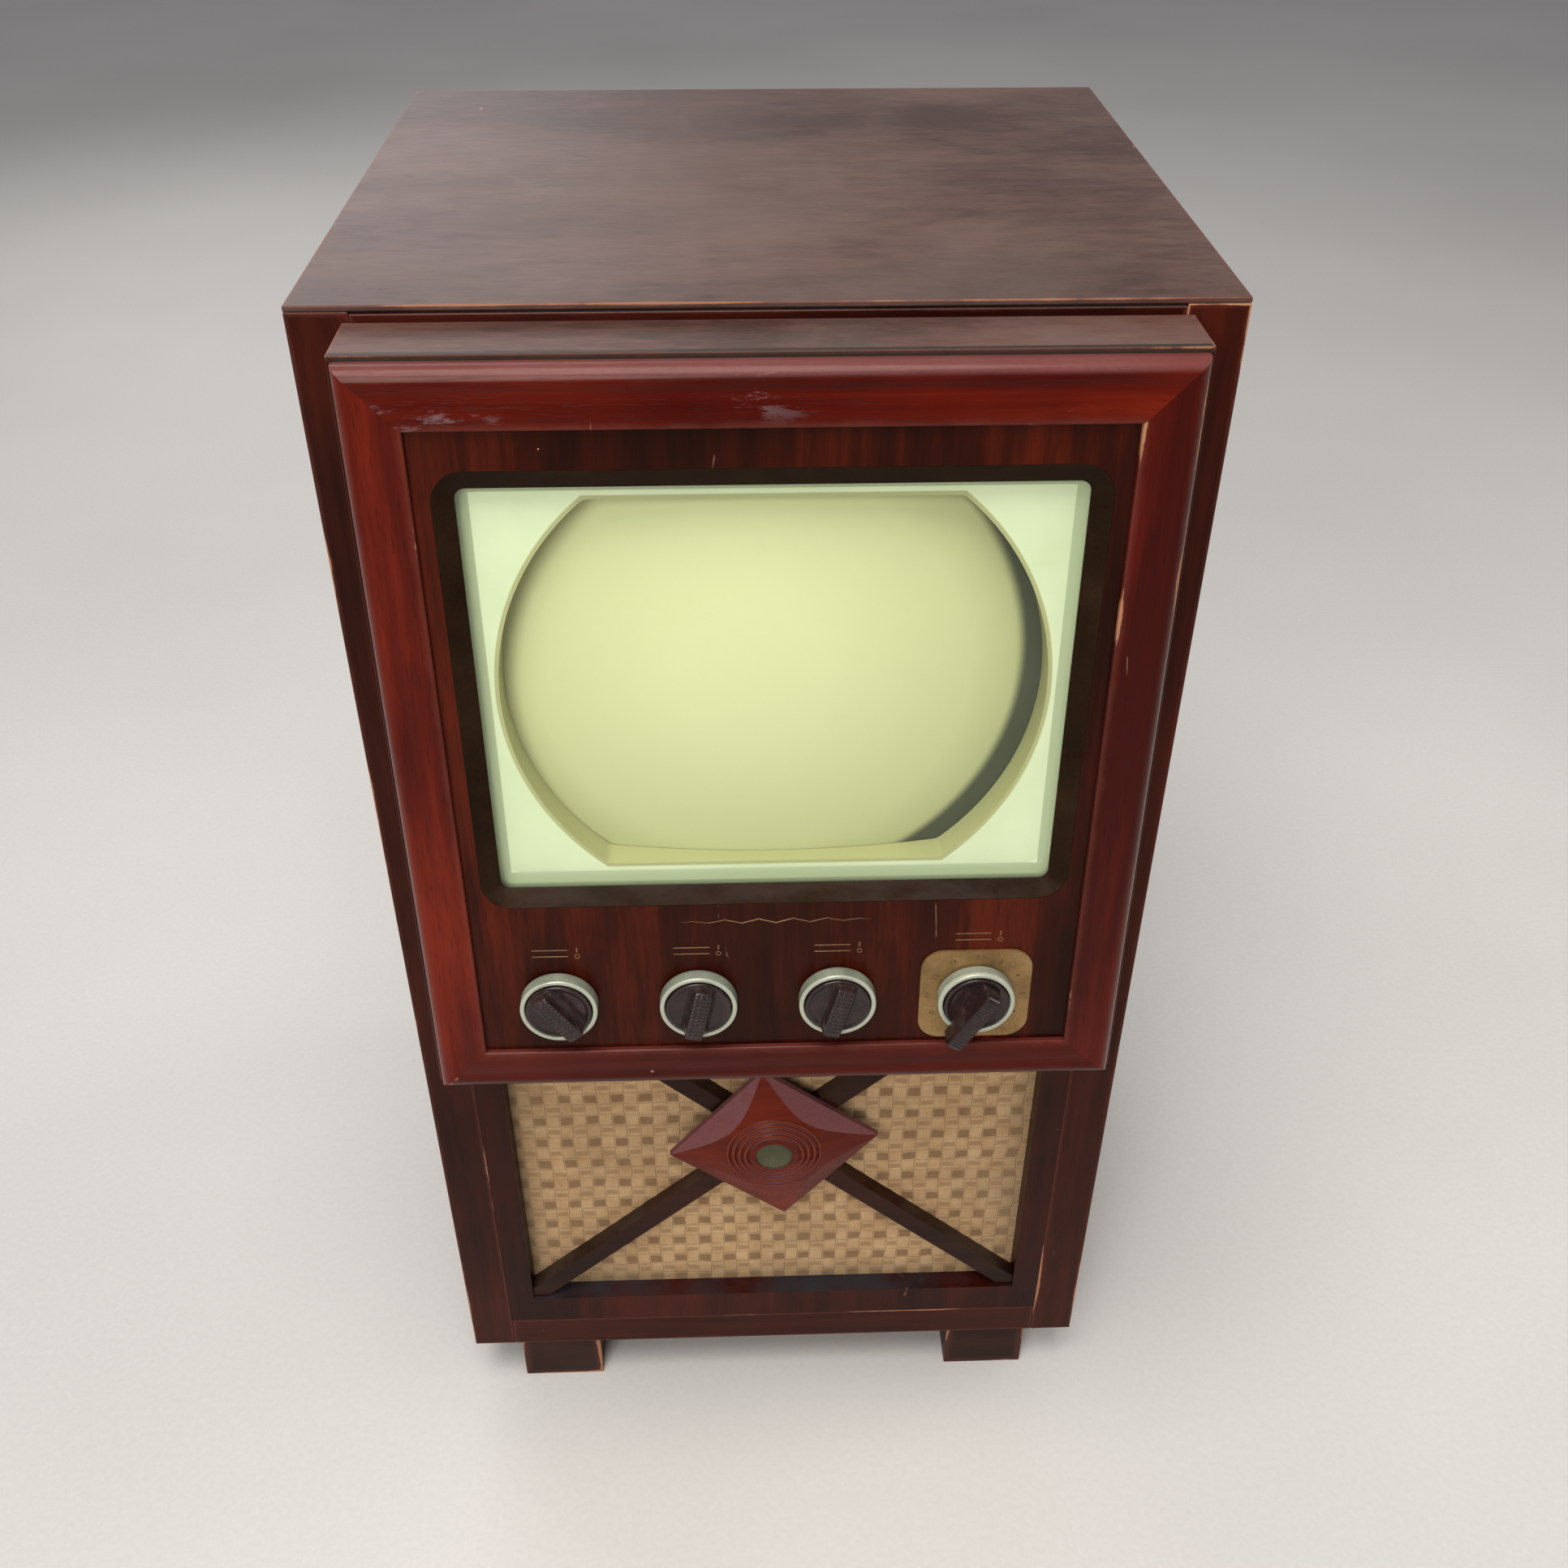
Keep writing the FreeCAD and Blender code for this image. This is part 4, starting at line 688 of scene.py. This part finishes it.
for knob, turn in knobLook["turns"].items():
    centre, channel = knobSpots[knob], knob == "channel"
    lift = plateLift if channel else 0.0
    disc, back, face, rim = (knobLook[k] for k in ("disc", "back", "face", "rim"))
    section = rounded([(0.0, back), (disc, back), (disc, face + rim * 0.6), (disc - 1.5, face + rim),
                       (disc - 3.2, face + 0.05), (6.0, face - 0.15), (0.0, face - 0.2)], 0.6) * mm
    plate = turnedShell(centre, section[:, 0], section[:, 1] + lift * mm, 96)
    bar = barShell(centre, turn, lift, channelBar if channel else plainBar)
    finish = knobFinish(knob + "_knob_finish")
    surface(knob + "_bar_knob", [plate, bar], finish, knob, [knob + "_knob"])
print("bar knobs made")


# channel plate, its numbers, and gold marks
def metalFinish(name, colours, rough, metallic=1.0, stain=None):
    # satin metal: clouds of tarnish through three colours, fine specks, and stains
    f = Finish(name)
    at = f.place()
    cloud = f.noise(at, 45.0, 5.0, 0.65)
    speck = f.noise(at, 900.0, 3.0, 0.6)
    tone = cloud * 0.7 + speck * 0.3
    colour = f.ramp(tone, list(zip((0.36, 0.52, 0.7), colours)))
    dull = rough + (cloud - 0.5) * 0.3 + (speck - 0.5) * 0.2
    if stain:
        spots = f.noise(at, 90.0, 5.0, 0.7).fade(0.58, 0.7)
        colour = f.blend(spots * 0.6, colour, stain)
        dull = dull + spots * 0.25
    return f.done(colour, dull, f.relief(tone, 0.1, 0.2 * mm), {"Metallic": metallic})


brass = ((0.15, 0.085, 0.03), (0.235, 0.14, 0.05), (0.34, 0.22, 0.095))
darkBrass = ((0.035, 0.035, 0.013), (0.06, 0.058, 0.024), (0.1, 0.095, 0.045))
ink = ((0.03, 0.018, 0.008), (0.045, 0.028, 0.012), (0.07, 0.045, 0.02))
gold = ((0.1, 0.05, 0.017), (0.16, 0.085, 0.03), (0.24, 0.14, 0.055))
dress("channel_plate", metalFinish("plate_finish", brass, 0.42, 0.6, (0.085, 0.055, 0.02)))
dress("medallion", metalFinish("medallion_finish", darkBrass, 0.5, 0.5, (0.03, 0.035, 0.02)))
inkFinish = metalFinish("ink_finish", ink, 0.5, 0.2)
goldFinish = metalFinish("gold_finish", gold, 0.5, 0.3)


dialLook = {"radius": 27.0, "size": 4.2, "thick": 0.03, "first": 2, "count": 12, "out": 1.63}


def numeral(number):
    # one of the dial's numbers, laid flat on the plate with its foot towards the middle
    turn = 2 * math.pi * number / dialLook["count"]
    curve = bpy.data.curves.new("numeral", "FONT")
    curve.body = str(dialLook["first"] + number)
    curve.size = dialLook["size"] * mm
    curve.align_x, curve.align_y = "CENTER", "CENTER"
    curve.extrude = dialLook["thick"] * mm
    curve.resolution_u = 3
    holder = addObject("numeral", curve)
    bpy.context.view_layer.update()
    mesh = bpy.data.meshes.new_from_object(holder)
    bpy.data.objects.remove(holder)
    out, radius = dialLook["out"] * mm, dialLook["radius"] * mm
    spot = onBoard(knobSpots["channel"], radius * math.sin(turn), out, radius * math.cos(turn))
    axes = Matrix(((1, 0, 0), tuple(upSlope), tuple(outward))).transposed().to_4x4()
    mesh.transform(Matrix.Translation(Vector(spot)) @ axes @ Matrix.Rotation(-turn, 4, "Z"))
    return mesh


mesh = bpy.data.meshes.new("channel_numbers")
work = bmesh.new()
for number in range(dialLook["count"]):
    work.from_mesh(numeral(number))
work.to_mesh(mesh)
work.free()
addPiece("channel_numbers", mesh, inkFinish, "cabinet", None)


def ribbon(centre, x, up, half, out, close=False):
    # a painted line: a thin strip with a width of its own at every point along its middle
    x, up, half = (np.asarray(a, float) * np.ones(len(x)) for a in (x, up, half))
    if close:
        alongX, alongUp = np.roll(x, -1) - np.roll(x, 1), np.roll(up, -1) - np.roll(up, 1)
    else:
        alongX, alongUp = np.gradient(x), np.gradient(up)
    length = np.hypot(alongX, alongUp)
    acrossX, acrossUp = -alongUp / length * half, alongX / length * half
    side = np.array((-1, 1, 1, -1))
    outs = np.array((0.0, 0.0, 1.0, 1.0)) * out
    points = onBoard(centre, (x[:, None] + acrossX[:, None] * side) * mm, outs * mm,
                     (up[:, None] + acrossUp[:, None] * side) * mm)
    return points, close, True


# gold marks in place of words: over each control two short rules, one with a small bar beside it for
# the bar knob and one with a small ring for the ring knob; higher up a waving rule with tapered ends
markLook = {"high": 37.0, "low": 32.6, "raised": 6.0, "long": 21.0, "half": 0.3, "aside": -3.0, "gap": 15.0,
            "bar": 3.2, "barHalf": 0.42, "ring": 1.3, "ringHalf": 0.25, "out": 0.04,
            "waveWide": 104.0, "waveUp": 55.0, "waveHigh": 1.7, "waveHalf": 0.32, "waves": 5.5}
marks, m = [], markLook
t = np.linspace(0, 1, 24)
around = np.linspace(0, 2 * np.pi, 28, endpoint=False)
taper = np.clip(np.minimum(t, 1 - t) * 30, 0, 1) ** 0.5
beside = m["gap"] + m["aside"]
for knob in ("horizontal_hold", "contrast", "volume", "channel"):
    spot, raised = knobSpots[knob], m["raised"] if knob == "channel" else 0.0
    high, low = m["high"] + raised, m["low"] + raised
    for level in (high, low):
        across = (t - 0.5) * m["long"] + m["aside"]
        marks.append(ribbon(spot, across, level + 0 * t, m["half"] * taper, m["out"]))
    marks.append(ribbon(spot, beside + 0 * t, high + (t - 0.5) * m["bar"], m["barHalf"] * taper, m["out"]))
    ringX, ringUp = beside + m["ring"] * np.cos(around), low + m["ring"] * np.sin(around)
    marks.append(ribbon(spot, ringX, ringUp, m["ringHalf"], m["out"], True))
t = np.linspace(0, 1, 260)
swell = np.sin(np.pi * t) ** 0.6
waveX = (t - 0.5) * m["waveWide"] + 1.5 * np.sin(4 * np.pi * m["waves"] * t)
waveUp = m["waveUp"] + m["waveHigh"] * swell * np.sin(2 * np.pi * m["waves"] * t)
panelMiddle = knobSpots["contrast"] * np.array((0.0, 1.0, 1.0))
marks.append(ribbon(panelMiddle, waveX, waveUp, m["waveHalf"] * swell + 0.02, m["out"]))
surface("panel_marks", marks, goldFinish, "cabinet", None)
print("dial numbered and marks painted")


# window, mask and tube face
linerLow, linerHigh = (np.array(v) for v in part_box("window_liner"))
windowUp = slopeOf((linerLow + linerHigh) / 2)  # the window's middle
windowDepth = depthOf(knobSpots["contrast"])  # the front of the board
linerLook = {"dark": (0.006, 0.0028, 0.0012), "mid": (0.012, 0.0055, 0.0022), "light": (0.021, 0.01, 0.0045),
             "dust": (0.042, 0.031, 0.027)}


def linerFinish():
    # near black paint, with dust and a painted sheen of the overhead light on the ledge that faces up
    f = Finish("liner_finish")
    at = f.place()
    cloud = f.noise(at, 20.0, 5.0, 0.65)
    speck = f.noise(at, 800.0, 3.0, 0.6)
    stops = [(0.35, linerLook["dark"]), (0.52, linerLook["mid"]), (0.7, linerLook["light"])]
    colour = f.ramp(cloud * 0.7 + speck * 0.3, stops)
    # a painted highlight along the upward ledge, mixed with dust
    ledge = f.facingUp().fade(0.15, 0.6)
    dust = ledge * f.noise(f.place(scale=(0.4, 1, 1)), 50.0, 4.0, 0.65).fade(0.3, 0.7)
    colour = f.blend(dust * 0.5, colour, linerLook["dust"])
    rough = 0.42 + (cloud - 0.5) * 0.3 + dust * 0.25
    return f.done(colour, rough, f.relief(speck, 0.1, 0.2 * mm),
                  {"Specular IOR Level": 0.08, "Specular Tint": (1.0, 0.75, 0.55, 1.0)})


dress("window_liner", linerFinish())

maskLook = {"cream": (0.55, 0.61, 0.39), "bright": (0.62, 0.67, 0.45), "stain": (0.4, 0.42, 0.22),
            "rim": (0.3, 0.34, 0.2), "lip": (0.33, 0.31, 0.12),
            "radius": 139.2, "flat": 106.0, "halfWide": 143.6, "halfHigh": 110.7}


def maskFinish():
    # cream plastic, darker round its opening, and painted shade on the bevel along its outer rim
    f = Finish("mask_finish")
    at = f.place()
    x, _, up = f.leaning()
    up = up - windowUp
    cloud = f.noise(at, 12.0, 4.0, 0.6)
    speck = f.noise(at, 600.0, 3.0, 0.6)
    stain = f.noise(at, 34.0, 5.0, 0.7).fade(0.6, 0.75)
    colour = f.ramp(cloud, [(0.35, maskLook["cream"]), (0.62, maskLook["bright"])])
    colour = f.blend(stain * 0.12, colour, maskLook["stain"])
    fromOpening = (x * x + up * up).power(0.5) - maskLook["radius"] * mm
    fromOpening = fromOpening.most(abs(up) - maskLook["flat"] * mm)
    lip = fromOpening.fade(2.6 * mm, 1.6 * mm)
    fromRim = (abs(x) - maskLook["halfWide"] * mm).most(abs(up) - maskLook["halfHigh"] * mm)
    rim = fromRim.fade(-0.4 * mm, 0.4 * mm)
    # painted shade: the outer rim's bevel, beyond the window's edges, made darker
    colour = f.blend(rim * 0.85, colour, maskLook["rim"])
    colour = f.blend(lip * 0.85, colour, maskLook["lip"])
    rough = 0.38 + (cloud - 0.5) * 0.2 + lip * 0.1
    return f.done(colour, rough, f.relief(speck, 0.06, 0.2 * mm), {"Coat Weight": 0.1})


dress("picture_mask", maskFinish())

tubeLook = {"phosphor": (0.53, 0.53, 0.28), "centre": (0.58, 0.585, 0.33), "edge": (0.4, 0.4, 0.2),
            "grain": (0.47, 0.46, 0.27), "coating": (0.06, 0.065, 0.04), "neck": (0.16, 0.17, 0.16),
            "radius": 140.0, "aside": -12.0, "above": 8.0, "behind": 62.0, "skin": 147.0, "proud": 0.25}


def tubeFinish():
    # the phosphor through the tube's glass: paler in the middle, olive towards its edge, and past its
    # edge the dark coating inside the bulb; behind the face the bulb is black and the neck is glass
    f = Finish("tube_finish")
    at = f.place()
    x, depth, up = f.leaning()
    side, rise = x - tubeLook["aside"] * mm, up - (windowUp + tubeLook["above"] * mm)
    reach = (side * side + rise * rise).power(0.5)
    cloud = f.noise(at, 9.0, 3.0, 0.5)
    grain = f.noise(at, 1500.0, 2.0, 0.5)
    colour = f.ramp((reach / 0.15) + (cloud - 0.5) * 0.12,
                    [(0.25, tubeLook["centre"]), (0.75, tubeLook["phosphor"]), (0.97, tubeLook["edge"])])
    colour = f.blend((grain - 0.5) * 0.2 + 0.1, colour, tubeLook["grain"])
    pastEdge = (reach - tubeLook["radius"] * mm).fade(-4 * mm, 3 * mm)
    colour = f.blend(pastEdge, colour, tubeLook["coating"])
    back = (depth - (windowDepth + tubeLook["behind"] * mm)).fade(0.0, 0.01)
    neck = (x * x + (up - windowUp) * (up - windowUp)).power(0.5).fade(0.024, 0.019)
    black = f.ramp(f.noise(at, 60.0, 5.0, 0.6), [(0.3, grey(0.008)), (0.7, grey(0.025))])
    colour = f.blend(back, colour, black)
    colour = f.blend(neck * back, colour, tubeLook["neck"])
    rough = 0.5 + back * 0.1 - neck * back * 0.4
    return f.done(colour, rough, None, {"Specular IOR Level": 0.2})


tubeMaterial = tubeFinish()
dress("picture_tube", tubeMaterial)


def tubeFace():
    # a smooth skin a hair in front of the bulb's face: the sphere that fits the face's own points best,
    # carried out in rings from the point where the board's axis crosses it
    corners = np.array([tuple(v.co) for v in nodes["picture_tube"].data.vertices if v.normal.y < -0.8])
    corners = corners[corners[:, 1] < corners[:, 1].min() + 20 * mm]
    # a point p of a sphere with centre c and radius r has 2 p.c + (r^2 - c^2) = p^2
    table = np.hstack([2 * corners, np.ones((len(corners), 1))])
    fit = np.linalg.lstsq(table, (corners ** 2).sum(1), rcond=None)[0]
    middle, ball = fit[:3], math.sqrt(fit[3] + (fit[:3] ** 2).sum()) + tubeLook["proud"] * mm
    reach = np.linspace(0, tubeLook["skin"] * mm, 48)
    print("tube face: ball of", round(ball, 4), "m")
    shell = turnedShell(middle, reach, np.sqrt(ball ** 2 - reach ** 2), 160)
    surface("tube_face_skin", [shell], tubeMaterial, "cabinet", None, turnOut=False)


tubeFace()


glassLook = {"tint": (0.985, 1.0, 0.975), "mirror": 0.3, "dust": 0.008}


def glassFinish(name):
    # clear sheet glass: what is behind it shows, and it mirrors more as it is seen more edge on
    f = Finish(name)
    smear = f.noise(f.place(), 14.0, 5.0, 0.65).fade(0.45, 0.8)
    mirror = f.node("ShaderNodeFresnel", {}, {"IOR": 1.45})
    clear = f.node("ShaderNodeBsdfTransparent", {}, {"Color": (*glassLook["tint"], 1.0)})
    shine = f.node("ShaderNodeBsdfGlossy", {}, {"Color": (1, 1, 1, 1), "Roughness": smear * 0.12 + 0.02})
    share = mirror * glassLook["mirror"] + smear * glassLook["dust"]
    mixed = f.node("ShaderNodeMixShader", {}, {0: share, 1: clear, 2: shine})
    f.node("ShaderNodeOutputMaterial", {}, {0: mixed})
    return f.material


dress("safety_glass", glassFinish("window_glass_finish"))
print("window dressed")


# grille cloth
clothLook = {
    "periodX": 18.1, "periodZ": 21.5, "puff": 0.55, "spacing": 2.0, "thickness": 0.8, "yarns": 14,
    "straw": (0.34, 0.195, 0.082), "pale": (0.5, 0.335, 0.17), "brown": (0.125, 0.06, 0.022),
    "thread": (0.19, 0.105, 0.042), "between": (0.17, 0.09, 0.036), "edgeDarkAndDirt": (0.19, 0.125, 0.06),
}
openLow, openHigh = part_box("grille_bars")
clothLow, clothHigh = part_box("grille_cloth")


def clothFinish():
    # a basket weave: squares where bundles of straw yarn float on top stand like a chessboard; of the
    # squares between them every second row shows brown cross threads, and the rest thin pairs of lines
    f = Finish("cloth_finish")
    here = f.place()
    x, _, z = f.apart(here)
    wanderX = f.noise(here, 30.0, 2.0) - 0.5
    wanderZ = f.noise(f.place(shift=(3, 1, 2)), 30.0, 2.0) - 0.5
    u = (x + wanderX * (6 * mm)) / (clothLook["periodX"] * mm) + 100.0
    v = (z + wanderZ * (6 * mm)) / (clothLook["periodZ"] * mm)
    cellU, cellV = u * 2.0, v * 2.0
    i, j = cellU.whole(), cellV.whole()
    checker = ((i + j) / 2.0).part().over(0.25)  # 1 on the squares between the puffs
    rowKind = (j / 2.0).part().over(0.25)
    inU, inV = cellU.part() - 0.5, cellV.part() - 0.5
    edge = abs(inU).most(abs(inV))
    square = edge.fade(0.5, 0.4)
    upright = (u * (2 * math.pi * clothLook["yarns"])).sine() * 0.5 + 0.5
    cross = (v * (2 * math.pi * clothLook["yarns"])).sine() * 0.5 + 0.5
    fibre = f.noise(f.place(scale=(1, 1, 0.25)), 2600.0, 3.0, 0.6)
    tone = f.noise(here, 70.0, 4.0, 0.6)
    straw = f.ramp(tone * 0.6 + fibre * 0.4, [(0.35, clothLook["straw"]), (0.65, clothLook["pale"])])
    darkGap = checker * rowKind * square
    lines = checker * (1.0 - rowKind) * square * (abs(inV) - 0.16).fade(0.1, 0.0)
    lines = lines * abs(inU).fade(0.48, 0.36)
    uneven = 0.6 + f.noise(here, 160.0, 2.0) * 0.7
    brownShare = darkGap * abs(inV).fade(0.5, 0.25) * (0.6 + cross * 0.5) * uneven
    colour = f.blend(brownShare.least(0.85), straw, clothLook["brown"])
    colour = f.blend(lines * 0.55, colour, clothLook["thread"])
    between = edge.fade(0.42, 0.5)
    colour = f.blend(between * 0.35, colour, clothLook["between"])
    yarn = upright * (1.0 - checker) + cross * checker
    colour = f.blend((1.0 - yarn) * 0.22, colour, clothLook["thread"])
    # darker within 30 mm of the opening's sides and bottom, and dirt in soft patches
    fromEdge = (openHigh.x - abs(x)).least(z - openLow.z)
    patches = f.noise(here, 11.0, 4.0, 0.6).fade(0.5, 0.8)
    darkening = fromEdge.fade(30 * mm, 0.0) * 0.45 + patches * 0.35
    colour = f.blend(darkening.least(0.8), colour, clothLook["edgeDarkAndDirt"])
    height = yarn * 0.35 + (1.0 - checker) * square * 0.6 - between * 0.5 + fibre * 0.2 - darkGap * 0.4
    rough = 0.78 + (fibre - 0.5) * 0.2
    return f.done(colour, rough, f.relief(height, 0.7, 0.6 * mm),
                  {"Sheen Weight": 0.08, "Sheen Roughness": 0.5, "Specular IOR Level": 0.2})


def wellInside(distance):
    # 0 within 1 mm of the opening's edge, 1 from 6 mm on
    return np.clip((distance - 1 * mm) / (5 * mm), 0, 1)


def clothPiece():
    # a flat grid stretched over the baffle, raised into low puffs where the weave floats and flat
    # wherever the frame lies on it
    step = clothLook["spacing"] * mm
    xs = np.linspace(clothLow.x, clothHigh.x, int((clothHigh.x - clothLow.x) / step) + 1)
    zs = np.linspace(clothLow.z, clothHigh.z, int((clothHigh.z - clothLow.z) / step) + 1)
    x, z = np.meshgrid(xs, zs, indexing="xy")
    u, v = x / (clothLook["periodX"] * mm) + 100, z / (clothLook["periodZ"] * mm)
    puff = np.sin(2 * np.pi * u) * np.sin(2 * np.pi * v)
    inside = wellInside(openHigh.x - np.abs(x)) * wellInside(z - openLow.z) * wellInside(openHigh.z - z)
    y = clothLow.y + 0.05 * mm - inside * (0.5 + 0.5 * puff) * clothLook["puff"] * mm
    shell = np.stack([x, y, z], -1)[:, ::-1], False, False
    piece = surface("grille_cloth_woven", [shell], clothFinish(), "cabinet", ["grille_cloth"],
                    turnOut=False)
    wall = piece.modifiers.new("Solidify", "SOLIDIFY")
    wall.thickness = clothLook["thickness"] * mm
    wall.offset = -1


clothPiece()
print("cloth woven")


# what is behind and inside
steel = metalFinish("steel_finish", (grey(0.3), grey(0.45), grey(0.6)), 0.35, stain=(0.2, 0.13, 0.08))
cadmium = ((0.28, 0.27, 0.22), (0.42, 0.41, 0.34), (0.55, 0.54, 0.46))
plated = metalFinish("chassis_finish", cadmium, 0.42, stain=(0.25, 0.2, 0.12))
iron = metalFinish("iron_finish", (grey(0.012), grey(0.022), grey(0.04)), 0.5, 0.2)
for name in ("horizontal_hold_shaft", "contrast_shaft", "volume_shaft", "channel_shaft", "cover_screws",
             "tube_clamp", "control_pots", "tuner_box"):
    dress(name, steel)
for name in ("tv_chassis", "high_voltage_cage"):
    dress(name, plated)
for name in ("power_transformer", "speaker_frame", "focus_coil", "deflection_yoke"):
    dress(name, iron)


def mouldedFinish(name, colours, rough):
    # plastic, pressed paper or glass in three near colours
    f = Finish(name)
    at = f.place()
    cloud = f.noise(at, 60.0, 4.0, 0.6)
    speck = f.noise(at, 900.0, 3.0, 0.65)
    colour = f.ramp(cloud * 0.6 + speck * 0.4, list(zip((0.36, 0.5, 0.68), colours)))
    return f.done(colour, rough + (cloud - 0.5) * 0.25, f.relief(speck, 0.1, 0.3 * mm),
                  {"Specular IOR Level": 0.45})


def boardFinish():
    # pressed fibre board: matted short fibres in two browns, with darker stains
    f = Finish("hardboard_finish")
    at = f.place()
    fibreA = f.noise(f.place(scale=(1, 1, 0.15), turn=(0, 0.5, 0)), 900.0, 3.0, 0.65)
    fibreB = f.noise(f.place(scale=(0.15, 1, 1), turn=(0, 0.3, 0)), 800.0, 3.0, 0.65)
    cloud = f.noise(at, 8.0, 5.0, 0.65)
    stain = f.noise(at, 22.0, 5.0, 0.7).fade(0.56, 0.7)
    stops = [(0.38, (0.085, 0.042, 0.02)), (0.52, (0.15, 0.08, 0.038)), (0.66, (0.23, 0.13, 0.065))]
    colour = f.ramp(fibreA * 0.3 + fibreB * 0.3 + cloud * 0.4, stops)
    colour = f.blend(stain * 0.35, colour, (0.05, 0.028, 0.016))
    return f.done(colour, 0.72 + (cloud - 0.5) * 0.2, f.relief(fibreA + fibreB, 0.35, 0.3 * mm),
                  {"Specular IOR Level": 0.3})


dress("back_cover", boardFinish())
bakelite = ((0.012, 0.007, 0.005), (0.02, 0.012, 0.009), (0.035, 0.02, 0.015))
plastic = ((0.01, 0.009, 0.008), (0.018, 0.016, 0.014), (0.035, 0.03, 0.027))
fibre = ((0.02, 0.016, 0.012), (0.035, 0.028, 0.02), (0.06, 0.048, 0.036))
paper = ((0.03, 0.026, 0.02), (0.05, 0.043, 0.034), (0.08, 0.07, 0.055))
for name in ("tube_base", "tuner_drum"):
    dress(name, mouldedFinish(name + "_finish", bakelite, 0.35))
for name in ("power_inlet", "antenna_terminals"):
    dress(name, mouldedFinish(name + "_finish", plastic, 0.4))
dress("neck_cup", mouldedFinish("cup_finish", fibre, 0.6))
dress("speaker_cone", mouldedFinish("cone_finish", paper, 0.85))
dress("vacuum_tubes", mouldedFinish("valve_finish", (grey(0.08), grey(0.13), grey(0.2)), 0.15))
print("hidden parts dressed")


# floor, light, camera
def floorPiece():
    f = Finish("floor_finish")
    at = f.place()
    cloud = f.noise(at, 1.3, 3.0, 0.5)
    speck = f.noise(at, 220.0, 3.0, 0.6)
    colour = f.ramp(cloud * 0.6 + speck * 0.4, [(0.3, (0.4, 0.38, 0.35)), (0.7, (0.47, 0.45, 0.415))])
    mesh = bpy.data.meshes.new("floor")
    half = 14.0
    corners = [(-half, -half, 0), (half, -half, 0), (half, half, 0), (-half, half, 0)]
    mesh.from_pydata(corners, [], [(0, 1, 2, 3)])
    mesh.materials.append(f.done(colour, 0.62 + (speck - 0.5) * 0.1, None, {"Specular IOR Level": 0.3}))
    addObject("floor", mesh)


floorPiece()

world = bpy.data.worlds.new("studio")
bpy.context.scene.world = world
world.use_nodes = True
world.node_tree.nodes["Background"].inputs[0].default_value = (0.84, 0.86, 0.93, 1.0)
world.node_tree.nodes["Background"].inputs[1].default_value = 0.42

lights = {  # where each stands, what it aims at, its size, watts and colour
    "overhead": ((-0.3, -1.0, 3.0), (0, 0, 0.5), 1.8, 98, (1.0, 0.98, 0.98)),
    "front": ((-0.8, -2.7, 2.0), (0, -0.2, 0.6), 1.5, 60, (1.0, 0.985, 1.0)),
    "right": ((2.6, 0.2, 1.8), (0, 0, 0.5), 1.8, 28, (1.0, 0.98, 0.95)),
    "back": ((-1.2, 2.6, 2.2), (0, 0, 0.6), 2.4, 40, (0.95, 0.97, 1.0)),
}
for name, (at, aim, size, watts, colour) in lights.items():
    data = bpy.data.lights.new(name, "AREA")
    data.shape = "DISK"
    data.size = size
    data.energy = watts
    data.color = colour
    holder = addObject(name, data)
    holder.location = at
    holder.rotation_euler = (Vector(aim) - Vector(at)).to_track_quat("-Z", "Y").to_euler()

view = {"at": (-0.0189, -0.9037, 1.0991), "down": 36.336, "turn": 1.997, "roll": 0.144,
        "lens": 36.61, "sensor": 36.0}


def cameraPiece():
    # looks down and a little to the right of straight ahead, with a slight roll
    down, turn, roll = (math.radians(view[k]) for k in ("down", "turn", "roll"))
    ahead = Vector((math.sin(turn) * math.cos(down), math.cos(turn) * math.cos(down), -math.sin(down)))
    right = Vector((math.cos(turn), -math.sin(turn), 0))
    up = right.cross(ahead)
    rolledRight = math.cos(roll) * right + math.sin(roll) * up
    rolledUp = math.cos(roll) * up - math.sin(roll) * right
    data = bpy.data.cameras.new("camera")
    data.lens, data.sensor_width = view["lens"], view["sensor"]
    data.clip_start, data.clip_end = 0.01, 100.0
    camera = addObject("camera", data)
    axes = Matrix((rolledRight, rolledUp, -ahead)).transposed().to_4x4()
    camera.matrix_world = Matrix.Translation(Vector(view["at"])) @ axes
    bpy.context.scene.camera = camera


cameraPiece()
bpy.context.scene.view_settings.view_transform = "Standard"
print("stage set")
